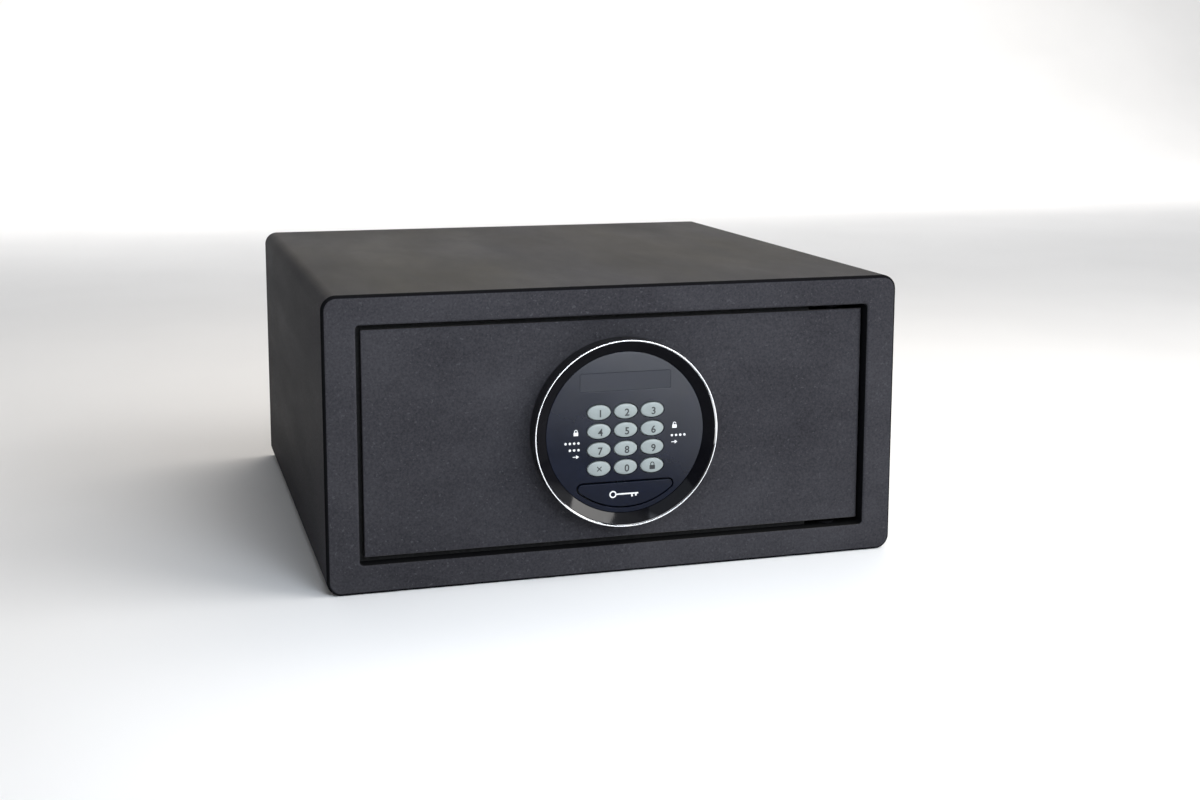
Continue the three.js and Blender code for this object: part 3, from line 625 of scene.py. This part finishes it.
def bevelled(bm, width, segments, angle=40):
    """Rounds every edge that turns by more than the angle."""
    bmesh.ops.remove_doubles(bm, verts=bm.verts, dist=WELD)
    edges = [e for e in bm.edges if len(e.link_faces) == 2 and e.calc_face_angle(0) > math.radians(angle)]
    bmesh.ops.bevel(bm, geom=edges, offset=width, segments=segments, profile=0.5, affect="EDGES",
                    clamp_overlap=True)
    return bm


# ------------------------------------------------------------------ housing

def housing_rect(inset, y, steps=12):
    """The housing's outline, drawn in by inset."""
    return rect_ring(-HALF_W + inset, HALF_W - inset, inset, HEIGHT - inset, CORNER - inset, y, steps)


def make_body_wrap():
    """The bent sheet round the housing, with the anchor holes in its floor; its top faces take a copy of the
    coat with a little more gloss, a painted sheen.
    """
    y0, y1 = wrap_lo.y, wrap_hi.y
    section = [(0, y0 + EDGE_SOFT), (0, y1 - EDGE_SOFT), (EDGE_SOFT, y1), (SHEET - EDGE_SOFT, y1),
               (SHEET, y1 - EDGE_SOFT), (SHEET, y0 + EDGE_SOFT), (SHEET - EDGE_SOFT, y0), (EDGE_SOFT, y0)]
    rings = [housing_rect(inset, y) for inset, y in section]
    plug = middle("floor_plug_left")
    holes = []
    for x in (-plug.x, plug.x):
        holes.append(rod_between((x, plug.y, -CUT_PAST), (x, plug.y, CUT_PAST), ANCHOR_R))
    wrap = to_object("housing_wrap", combined(loft(rings, closed=True), holes), POWDER)
    wrap.data.materials.append(POWDER_TOP_SHEEN)
    level_enough = 0.8
    # The top faces take that copy of the coat: painted sheen.
    for polygon in wrap.data.polygons:
        if polygon.normal.z > level_enough and polygon.center.z > MID_Z:
            polygon.material_index = 1
    piece(wrap, "housing", "powder_coat", "body_wrap")


def make_front_frame():
    """One loft round the frame's section: rounded outside, flat face, rounded into the return wall."""
    outer_fillet, inner_fillet, opening_corner = 3 * MM, 1.8 * MM, 2.5 * MM
    steps = 10
    back = FRONT + FRAME_PLATE

    def outer(inset, y):
        return housing_rect(inset, y, steps)

    def inner(grow, y):
        r = opening_corner + grow
        return rect_ring(-OPEN_X - grow, OPEN_X + grow, OPEN_Z0 - grow, OPEN_Z1 + grow, r, y, steps)

    rings = [outer(0, back)]
    for inset, y in arc((outer_fillet, FRONT + outer_fillet), outer_fillet, 180, 270, 8):
        rings.append(outer(inset, y))
    for grow, y in arc((inner_fillet, FRONT + inner_fillet), inner_fillet, 270, 180, 6):
        rings.append(inner(grow, y))
    wall = [(0, RETURN_BACK - EDGE_SOFT), (EDGE_SOFT, RETURN_BACK), (SHEET - EDGE_SOFT, RETURN_BACK),
            (SHEET, RETURN_BACK - EDGE_SOFT), (SHEET, back)]
    rings += [inner(grow, y) for grow, y in wall]

    bolt_hole_r, bush_hole_r, half_cut = 10 * MM, 5.3 * MM, 5 * MM
    cutters = []
    for node in BOLTS:
        at = middle(node)
        ends = [(x, at.y, at.z) for x in (-OPEN_X - half_cut, -OPEN_X + half_cut)]
        cutters.append(rod_between(*ends, bolt_hole_r))
    for node, wall_z in (("hinge_bush_lower", OPEN_Z0), ("hinge_bush_upper", OPEN_Z1)):
        at = middle(node)
        ends = [(at.x, at.y, z) for z in (wall_z - half_cut, wall_z + half_cut)]
        cutters.append(rod_between(*ends, bush_hole_r))
    face = to_object("front_frame_shell", combined(loft(rings, closed=True), cutters), POWDER)

    # The sides of the plate and the wall in the gap take a near-black coat: a painted dark line along the
    # plate's rounded sides, and painted shade in the gap.
    face.data.materials.append(SHADE_COAT)
    rolled, border = 0.15 * MM, 10 * MM
    for polygon in face.data.polygons:
        x, y, z = polygon.center
        outside = max(abs(x) - OPEN_X, abs(z - MID_Z) - (OPEN_Z1 - MID_Z)) > border
        painted_gap_shade = not outside and y > FRONT + 0.6 * inner_fillet
        if painted_gap_shade or (outside and FRONT + rolled < y < back - rolled / 2):
            polygon.material_index = 1
    piece(face, "housing", "powder_coat", "front_frame")


def make_door_stop():
    """A strip of foam on the return wall behind the door, open on the hinge side."""
    lip, end, tuck = 5 * MM, 140 * MM, 0.1 * MM
    y0, y1 = DOOR_BACK + 0.8 * MM, DOOR_BACK + 2.8 * MM
    x0, z0, z1 = -OPEN_X - tuck, OPEN_Z0 - tuck, OPEN_Z1 + tuck
    outline = [(x0, z0), (end, z0), (end, z0 + lip), (x0 + lip, z0 + lip),
               (x0 + lip, z1 - lip), (end, z1 - lip), (end, z1), (x0, z1)]
    strip = to_object("door_stop", plate([outline], y0, y1, 0.3 * MM), GASKET)
    piece(strip, "housing", "powder_coat", "front_frame")


def make_rear_panel():
    """The panel inside the back of the wrap, with two anchor holes."""
    lo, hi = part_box("rear_panel")
    hole_x = middle("rear_plug_right").x
    corner = CORNER - SHEET - 0.3 * MM
    outlines = [rect_outline(lo.x, hi.x, lo.z, hi.z, corner, 10)]
    outlines += [oval_outline(x, MID_Z, ANCHOR_R, ANCHOR_R, 40) for x in (-hole_x, hole_x)]
    panel = to_object("rear_panel_sheet", plate(outlines, lo.y, hi.y, 0.3 * MM), POWDER)
    piece(panel, "housing", "powder_coat", "rear_panel")


# ------------------------------------------------------------------ door

def make_door_plate():
    """Crisp above and below; the hinge edge is rolled over like folded sheet."""
    soft, crisp, left_soft = 4.5 * MM, 0.35 * MM, 0.8 * MM
    x0, x1, y0, y1 = door_lo.x, door_hi.x, DOOR_FRONT, DOOR_BACK
    section = arc((x1 - soft, y0 + soft), soft, 270, 360, 12)
    section += [(x1, y1), (x0, y1)]
    section += arc((x0 + left_soft, y0 + left_soft), left_soft, 180, 270, 5)
    bm = loft([[(x, y, z) for x, y in section] for z in (door_lo.z, door_hi.z)])
    bm = bevelled(bm, crisp, 2, 60)
    lock_hole_r, wire_hole_r, wire_hole_z = 7.8 * MM, 8 * MM, MID_Z + 8 * MM
    lock_hole_z = middle("override_lock_body").z
    holes = [drill(0, lock_hole_z, y1, lock_hole_r), drill(0, wire_hole_z, y1, wire_hole_r)]
    post_r, rooted = 4 * MM, MM
    posts = []
    for node in COVER_SCREWS:
        at = middle(node)
        posts.append(rod_between((at.x, y1 - rooted, at.z), (at.x, door_hi.y, at.z), post_r, 32))
    bm = combined(combined(bm, holes), posts, "UNION")
    piece(to_object("door_leaf", bm, POWDER), "door", "powder_coat", "door_plate")


# ------------------------------------------------------------------ keypad

pad_lo, pad_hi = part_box("keypad_housing")
ring_lo, ring_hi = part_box("chrome_ring")
face_lo, face_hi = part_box("faceplate")
PAD_R = pad_hi.x
RIM_R = PAD_R - 1.4 * MM
FACE_R = face_hi.x
FACE_Y = face_lo.y
RING_Y = ring_lo.y
INK_DEPTH = 0.03 * MM
KEY_RX, KEY_RZ = 8.15 * MM, 5.1 * MM
KEY_DOME = 0.75 * MM
KEY_FLANGE = 0.7 * MM
KEY_NAMES = [n for n in frame["nodes"] if n.startswith("key_") and n != "key_mat"]


def make_keypad_housing():
    """A round cup with its open side to the front."""
    wall, floor, edge = 2.1 * MM, 1.8 * MM, 0.5 * MM
    front, back = pad_lo.y, pad_hi.y
    profile = [(0, back), (PAD_R - edge, back), (PAD_R, back - edge), (PAD_R, front), (PAD_R - wall, front),
               (PAD_R - wall, back - floor), (0, back - floor)]
    housing = to_object("keypad_shell", turned(profile, 0, MID_Z), ABS)
    piece(housing, "door", "black_plastic", "keypad_housing")


def make_chrome_ring():
    """A bright rim with a narrow flat front, sloping inwards behind it."""
    back, flat, soft = ring_hi.y, 0.34 * MM, 0.2 * MM
    profile = [(RIM_R, back), (PAD_R, back)]
    profile += arc((PAD_R - soft, RING_Y + soft), soft, 0, -90, 4)
    profile += arc((PAD_R - soft - flat, RING_Y + soft), soft, -90, -160, 4)
    profile.append((RIM_R, back - 0.5 * MM))
    ring = to_object("chrome_trim", turned(profile, 0, MID_Z, 192), CHROME)
    piece(ring, "door", "chrome", "chrome_ring")


def make_bezel():
    """The dished ring between the chrome and the faceplate."""
    lo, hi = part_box("keypad_bezel")
    r0, r1 = FACE_R + 0.08 * MM, RIM_R - 0.05 * MM
    edge, proud = 0.3 * MM, 0.2 * MM
    profile = [(r1, hi.y), (r1, lo.y + edge), (r1 - edge, lo.y)]
    profile += [(r0 + edge, FACE_Y - proud), (r0, FACE_Y + edge), (r0, hi.y)]
    bezel = to_object("dished_bezel", turned(profile, 0, MID_Z, 192), DISH_PAINTED_REFLECTION)
    piece(bezel, "door", "gloss_black", "keypad_bezel")


def cap_outline(grow, steps=40):
    """The override cap: straight above, and below on a circle round the keypad's centre."""
    r = 51.4 * MM + grow
    corner = 3 * MM + grow
    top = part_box("override_cap")[1].z + grow
    corner_z = top - corner - MID_Z
    corner_x = math.sqrt((r - corner) ** 2 - corner_z ** 2)
    start = math.degrees(math.atan2(corner_z, -corner_x))
    points = arc((0, MID_Z), r, start, -180 - start, steps)
    points += arc((corner_x, MID_Z + corner_z), corner, -180 - start, 90, 10)[1:]
    points += arc((-corner_x, MID_Z + corner_z), corner, 90, 360 + start, 10)[:-1]
    return points


def make_faceplate():
    """The faceplate, with holes for the keys, the display and the override cap, and the display's window."""
    outlines = [oval_outline(0, MID_Z, FACE_R, FACE_R, 192)]
    key_gap, cap_gap = 0.6 * MM, 1.0 * MM
    for name in KEY_NAMES:
        at = middle(name)
        outlines.append(oval_outline(at.x, at.z, KEY_RX + key_gap, KEY_RZ + key_gap))
    lo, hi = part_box("display_window")
    gap, corner = 0.04 * MM, 1.2 * MM
    outlines.append(rect_outline(lo.x - gap, hi.x + gap, lo.z - gap, hi.z + gap, corner + 0.1 * MM))
    outlines.append(cap_outline(cap_gap))
    face = to_object("faceplate_disc", plate(outlines, FACE_Y, face_hi.y, 0.3 * MM), GLOSS_PAINTED_REFLECTION)
    piece(face, "door", "gloss_black", "faceplate")
    sunk = 0.05 * MM
    window = plate([rect_outline(lo.x, hi.x, lo.z, hi.z, corner)], FACE_Y + sunk, hi.y, sunk)
    piece(to_object("display_lens", window, WINDOW), "door", "smoked_window", "display_window")


def key_fall(share):
    """How far a key's face falls at a share of the way out to its rim: slowly at first, then steeply."""
    return KEY_DOME * share ** 2.6


def text_mesh(body, size, x, z, swell):
    """Flat lettering centred on (x, z), in the plane y = 0, its strokes widened by swell."""
    curve = bpy.data.curves.new("glyph", "FONT")
    curve.body = body
    curve.size = size
    curve.extrude = INK_DEPTH
    curve.offset = swell
    curve.resolution_u = 6
    obj = bpy.data.objects.new("glyph", curve)
    obj.matrix_world = Matrix.Rotation(math.radians(90), 4, "X")
    bpy.context.scene.collection.objects.link(obj)
    bm = evaluated_bmesh(obj)
    xs = [v.co.x for v in bm.verts]
    zs = [v.co.z for v in bm.verts]
    bm.transform(Matrix.Translation((x - (min(xs) + max(xs)) / 2, 0, z - (min(zs) + max(zs)) / 2)))
    return bm


def sliced(bm, step):
    """Cuts a flat mark into cells, so that it can follow a dome."""
    for normal in (RIGHT, UP):
        places = [v.co.dot(normal) for v in bm.verts]
        for i in range(1, math.ceil((max(places) - min(places)) / step)):
            at = normal * (min(places) + i * step)
            cells = bm.verts[:] + bm.edges[:] + bm.faces[:]
            bmesh.ops.bisect_plane(bm, geom=cells, plane_co=at, plane_no=normal)
    return bm


def sign(*outlines):
    """Flat printed marks, each from its own outline."""
    return merged(*(plate([outline], -INK_DEPTH, INK_DEPTH, 0.01 * MM, 1) for outline in outlines))


def padlock(x, z, size, is_open=False):
    """A padlock's body and bow; an open one's bow stops short on the right."""
    body = rect_outline(x - 0.38 * size, x + 0.38 * size, z - 0.5 * size, z + 0.06 * size, 0.07 * size)
    r, foot, top = 0.23 * size, z + 0.06 * size, z + 0.22 * size
    bow = [(x - r, foot), *arc((x, top), r, 180, 0, 14), (x + r, top - 0.04 * size if is_open else foot)]
    return [body, stroke(bow, 0.12 * size)]


def cross(x, z, size, width):
    """A diagonal cross with arms of even width."""
    h, w = size / 2, width / 2
    arms = [(w, w), (w, h), (-w, h), (-w, w), (-h, w), (-h, -w), (-w, -w), (-w, -h), (w, -h), (w, -w),
            (h, -w), (h, w)]
    c = math.sqrt(0.5)
    return [[(x + c * (a - b), z + c * (a + b)) for a, b in arms]]


def arrow(x, z, size):
    """An arrow to the right."""
    h = size / 2
    return [[(x - h, z - 0.12 * h), (x + 0.1 * h, z - 0.12 * h), (x + 0.1 * h, z - 0.6 * h), (x + h, z),
             (x + 0.1 * h, z + 0.6 * h), (x + 0.1 * h, z + 0.12 * h), (x - h, z + 0.12 * h)]]


def dots(x, z, count):
    """A row of dots to the right of (x, z)."""
    pitch, r = 3.0 * MM, 0.85 * MM
    return [oval_outline(x + i * pitch, z, r, r, 20) for i in range(count)]


def make_key(name):
    """A domed oval button with a flange behind the faceplate, and the mark printed on its dome."""
    lo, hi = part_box(name)
    x, _, z = middle(name)
    front, rim = lo.y, lo.y + KEY_DOME
    behind_plate, off_mat = 0.3 * MM, 0.04 * MM
    shoulder, back = face_hi.y + behind_plate, hi.y - off_mat
    flange = 1 + KEY_FLANGE / KEY_RX
    rings = [(share, front + key_fall(share)) for share in (0.1, 0.25, 0.4, 0.55, 0.68, 0.78, 0.86, 0.92)]
    rings += [(0.965, rim), (0.99, rim + 0.16 * MM), (1.0, rim + 0.4 * MM)]
    rings += [(1.0, shoulder), (flange, shoulder), (flange, back)]
    bm = loft([circle_ring(x, z, KEY_RX * share, KEY_RZ * share, y, 64) for share, y in rings])
    piece(to_object(f"{name}_button", bm, KEY), name, "key_plastic", name)

    label = name.removeprefix("key_")
    if label in DIGITS:
        size, swell, right, down = 7.0 * MM, 0.12 * MM, 0.7 * MM, 0.6 * MM
        mark = text_mesh(label, size, x + right, z - down, swell)
    elif label == "clear":
        mark = sign(*cross(x, z, 4.4 * MM, 0.7 * MM))
    else:
        mark = sign(*padlock(x, z, 5.2 * MM))
    sunk, cell = 0.02 * MM, 0.4 * MM
    for v in sliced(mark, cell).verts:
        v.co.y += front + key_fall(math.hypot((v.co.x - x) / KEY_RX, (v.co.z - z) / KEY_RZ)) - sunk
    piece(to_object(f"{name}_mark", mark, INK), name, "key_plastic")


def make_legends():
    """Small white signs on each side of the keys: digits then closed, and digits then open."""
    left, right, lock, tip = -35 * MM, 35 * MM, 4.2 * MM, 4.4 * MM
    rows = [
        padlock(left, MID_Z + 1.8 * MM, lock),
        dots(left - 7.2 * MM, MID_Z - 5.4 * MM, 4),
        dots(left - 4.2 * MM, MID_Z - 10.1 * MM, 3),
        arrow(left, MID_Z - 14.8 * MM, tip),
        padlock(right, MID_Z + 3.2 * MM, lock, is_open=True),
        dots(right - 1.8 * MM, MID_Z - 4.0 * MM, 4),
        arrow(right, MID_Z - 8.6 * MM, tip),
    ]
    marks = sign(*(outline for row in rows for outline in row))
    marks.transform(Matrix.Translation((0, FACE_Y - 0.5 * INK_DEPTH, 0)))
    piece(to_object("keypad_legends", marks, WHITE_INK), "door", "gloss_black")


def make_override_cap():
    """A snap-in cap with two prongs behind and a finger notch below, printed with the outline of a key."""
    lo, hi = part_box("override_cap")
    thick, rooted = 2.4 * MM, 0.5 * MM
    prong_x, prong_half, prong_z0, prong_z1 = 20 * MM, 1.5 * MM, MID_Z - 43 * MM, MID_Z - 41 * MM
    cap = plate([cap_outline(0)], lo.y, lo.y + thick, 0.5 * MM, 4)
    prongs = [block(x - prong_half, x + prong_half, lo.y + thick - rooted, hi.y, prong_z0, prong_z1)
              for x in (-prong_x, prong_x)]
    notch_r, notch_z, notch_depth = 2.6 * MM, lo.z - 0.9 * MM, MM
    notch = rod_between((0, lo.y - CUT_PAST, notch_z), (0, lo.y + notch_depth, notch_z), notch_r)
    shell = combined(combined(cap, [notch]), prongs, "UNION")
    piece(to_object("override_cap_shell", shell, GLOSS_PAINTED_REFLECTION), "override_cap", "gloss_black", "override_cap")

    bow, line, half = 2.5 * MM, 0.9 * MM, 0.5 * MM
    bow_x, tip_x, stem_z = -9 * MM, 9 * MM, MID_Z - 42.5 * MM
    ring = [oval_outline(bow_x, stem_z, r, r, 40) for r in (bow, bow - line)]
    blade = [(bow_x + bow, stem_z - half)]
    for from_tip, drop in ((5 * MM, 2.3 * MM), (2.2 * MM, 1.9 * MM)):
        x0 = tip_x - from_tip
        x1 = x0 + 1.1 * MM
        blade += [(x0, stem_z - half), (x0, stem_z - drop), (x1, stem_z - drop), (x1, stem_z - half)]
    blade += [(tip_x, stem_z - half), (tip_x, stem_z + half), (bow_x + bow, stem_z + half)]
    key_sign = merged(plate(ring, -INK_DEPTH, INK_DEPTH, 0.01 * MM, 1), sign(blade))
    key_sign.transform(Matrix.Translation((0, lo.y - 0.5 * INK_DEPTH, 0)))
    piece(to_object("override_cap_sign", key_sign, WHITE_INK), "override_cap", "gloss_black")


# ------------------------------------------------------------------ behind the door

lid_lo, lid_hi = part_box("battery_lid")
tray_lo, tray_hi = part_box("battery_tray")
COVER_BACK = lid_lo.y - 0.3 * MM
COVER_SHEET = 1.5 * MM
LID_TRAVEL = 66 * MM


def make_door_cover():
    """A pressed pan over the lock: rounded behind, three stiffening beads, and rails for the battery lid."""
    soft, corner, least_corner = 3 * MM, 4 * MM, 0.8 * MM
    front, back = cover_lo.y, COVER_BACK

    def ring(inset, y):
        r = max(corner - inset, least_corner)
        lo, hi = cover_lo + inset * (UP + RIGHT), cover_hi - inset * (UP + RIGHT)
        return rect_ring(lo.x, hi.x, lo.z, hi.z, r, y, 8)

    rings = [ring(soft, back - COVER_SHEET), ring(COVER_SHEET, back - soft), ring(COVER_SHEET, front),
             ring(0, front)]
    rings += [ring(inset, y) for inset, y in arc((soft, back - soft), soft, 180, 90, 6)]

    lip, screw_hole_r, bolt_hole_r = 2 * MM, 2.3 * MM, 9.8 * MM
    tools = [block(tray_lo.x + lip, tray_hi.x - lip, back - CUT_PAST, back + CUT_PAST, tray_lo.z + lip,
                   tray_hi.z - lip)]
    for node in COVER_SCREWS:
        at = middle(node)
        tools.append(drill(at.x, at.z, back, screw_hole_r, 32))
    for node in BOLTS:
        at = middle(node)
        at.x = cover_lo.x
        tools.append(rod_between(at - CUT_PAST * RIGHT, at + 2 * COVER_SHEET * RIGHT, bolt_hole_r))
    pan = combined(loft(rings), tools)

    sink, proud, bead_half, bead_pitch = 0.8 * MM, 0.6 * MM, 3 * MM, 36 * MM
    bead_x0, bead_x1 = cover_lo.x + 24 * MM, -28 * MM
    raised = []
    for z in (MID_Z - bead_pitch, MID_Z, MID_Z + bead_pitch):
        outline = rect_outline(bead_x0, bead_x1, z - bead_half, z + bead_half, bead_half - 0.1 * MM)
        raised.append(plate([outline], back - sink, back + proud, 0.5 * MM, 4))
    rail_wide, rail_gap = 1.9 * MM, 0.3 * MM
    rail_x0, rail_x1 = lid_lo.x - LID_TRAVEL + MM, tray_hi.x + 5 * MM
    for z0 in (lid_lo.z - rail_gap - rail_wide, lid_hi.z + rail_gap):
        rail = block(rail_x0, rail_x1, back - sink, cover_hi.y, z0, z0 + rail_wide)
        raised.append(bevelled(rail, 0.4 * MM, 3))
    cover = to_object("door_cover_pan", combined(pan, raised, "UNION"), INNER_PAINTED_LIGHT)
    piece(cover, "door", "inner_coat", "door_cover")


def make_screw(name):
    """A domed head with a cross recess, on a shank with a softened end."""
    lo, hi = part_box(name)
    x, _, z = middle(name)
    r, shank, dome, rim = hi.x - x, 2 * MM, 2.3 * MM, 0.2 * MM
    base = hi.y - dome
    profile = [(0, lo.y), (shank - EDGE_SOFT, lo.y), (shank, lo.y + EDGE_SOFT), (shank, base)]
    profile.append((r - rim, base))
    for i in range(8):
        a = TAU / 4 * i / 8
        profile.append((r * math.cos(a), base + rim + (dome - rim) * math.sin(a)))
    profile.append((0, hi.y))
    arm, half, deep = 0.55 * r, 0.4 * MM, 1.3 * MM
    recess = [block(x - w, x + w, hi.y - deep, hi.y + MM, z - h, z + h)
              for w, h in ((arm, half), (half, arm))]
    head = combined(turned(profile, x, z, 48), recess)
    piece(to_object(f"{name}_head", head, ZINC), "door", "zinc_steel", name)


def make_battery_lid():
    """A sliding plate with a ribbed thumb grip and a raised arrow."""
    thick, rooted, arrow_rooted, arrow_proud = 1.8 * MM, 0.8 * MM, 0.5 * MM, 0.4 * MM
    back = lid_lo.y + thick
    outline = rect_outline(lid_lo.x, lid_hi.x, lid_lo.z, lid_hi.z, 2.5 * MM)
    body = plate([outline], lid_lo.y, back, 0.5 * MM, 4)
    rib_wide, rib_pitch, rib_z0, rib_z1 = 1.4 * MM, 3 * MM, MID_Z - 22 * MM, MID_Z + 6 * MM
    raised = []
    for i in range(3):
        x = lid_lo.x + 7 * MM + i * rib_pitch
        outline = rect_outline(x, x + rib_wide, rib_z0, rib_z1, 0.65 * MM)
        raised.append(plate([outline], back - rooted, lid_hi.y, 0.3 * MM))
    pointer = [(-x, z) for x, z in arrow(-lid_lo.x - 30 * MM, MID_Z - 8 * MM, 14 * MM)[0]]
    raised.append(plate([pointer], back - arrow_rooted, back + arrow_proud, 0.15 * MM))
    lid = to_object("battery_lid_plate", combined(body, raised, "UNION"), ABS)
    piece(lid, "battery_lid", "black_plastic", "battery_lid")


def make_cell(i):
    """A sleeved cell with bright ends and a dark band; every second one lies the other way up."""
    name = f"battery_cell_{i}"
    lo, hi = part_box(name)
    x, y, _ = middle(name)
    r, pole, soft, step, edge, band = (hi.x - lo.x) / 2, 2.7 * MM, 0.6 * MM, 1.2 * MM, 0.3 * MM, 9 * MM
    length = hi.z - lo.z
    end = length - step
    profile = [(0, 0), (r - soft, 0), (r - 0.2 * soft, 0.3 * soft), (r, soft), (r, band), (r, end - soft),
               (r - 0.3 * soft, end - 0.2 * soft), (r - soft, end), (pole, end), (pole, length - edge),
               (pole - edge, length), (0, length)]
    upward = i % 2 == 1
    foot, turn = (lo.z, 90) if upward else (hi.z, -90)
    bm = turned(profile, 0, 0, 64)
    bm.transform(Matrix.Translation((x, y, foot)) @ Matrix.Rotation(math.radians(turn), 4, "X"))
    cell = to_object(f"{name}_sleeve", bm, SLEEVE)
    for extra in (ZINC, ABS):
        cell.data.materials.append(extra)
    for polygon in cell.data.polygons:
        at = polygon.center
        bare = math.hypot(at.x - x, at.y - y) < r - soft
        polygon.material_index = 1 if bare else 2 if abs(at.z - foot) < band else 0
    piece(cell, "door", "cell_sleeve", name)


# ------------------------------------------------------------------ nodes kept as the frame has them

def finish_plain_nodes():
    """Every CAD node gets its material, softened edges, and smooth shading across its curves."""
    for entry in frame["record"]["subparts"]:
        name = entry["node"]
        node = frame["nodes"][name]
        # The hinges sit in the gap and take the near-black coat of painted shade.
        look = SHADE_COAT if name.startswith("hinge_") else SLOT_LOOKS[entry["material_slot"]]
        node.data.materials.clear()
        node.data.materials.append(look)
        soften = node.modifiers.new("soft_edges", "BEVEL")
        soften.width = 0.25 * MM
        soften.segments = 2
        soften.limit_method = "ANGLE"
        soften.angle_limit = math.radians(40)
        node.data.shade_smooth()
        even_normals(node)


# ------------------------------------------------------------------ build everything

make_camera()
make_lights()
make_floor()
make_body_wrap()
make_front_frame()
make_door_stop()
make_rear_panel()
make_door_plate()
make_keypad_housing()
make_chrome_ring()
make_bezel()
make_faceplate()
for key_name in KEY_NAMES:
    make_key(key_name)
make_legends()
make_override_cap()
make_door_cover()
for screw in COVER_SCREWS + KEYPAD_SCREWS:
    make_screw(screw)
make_battery_lid()
for cell_number in range(1, 5):
    make_cell(cell_number)
finish_plain_nodes()
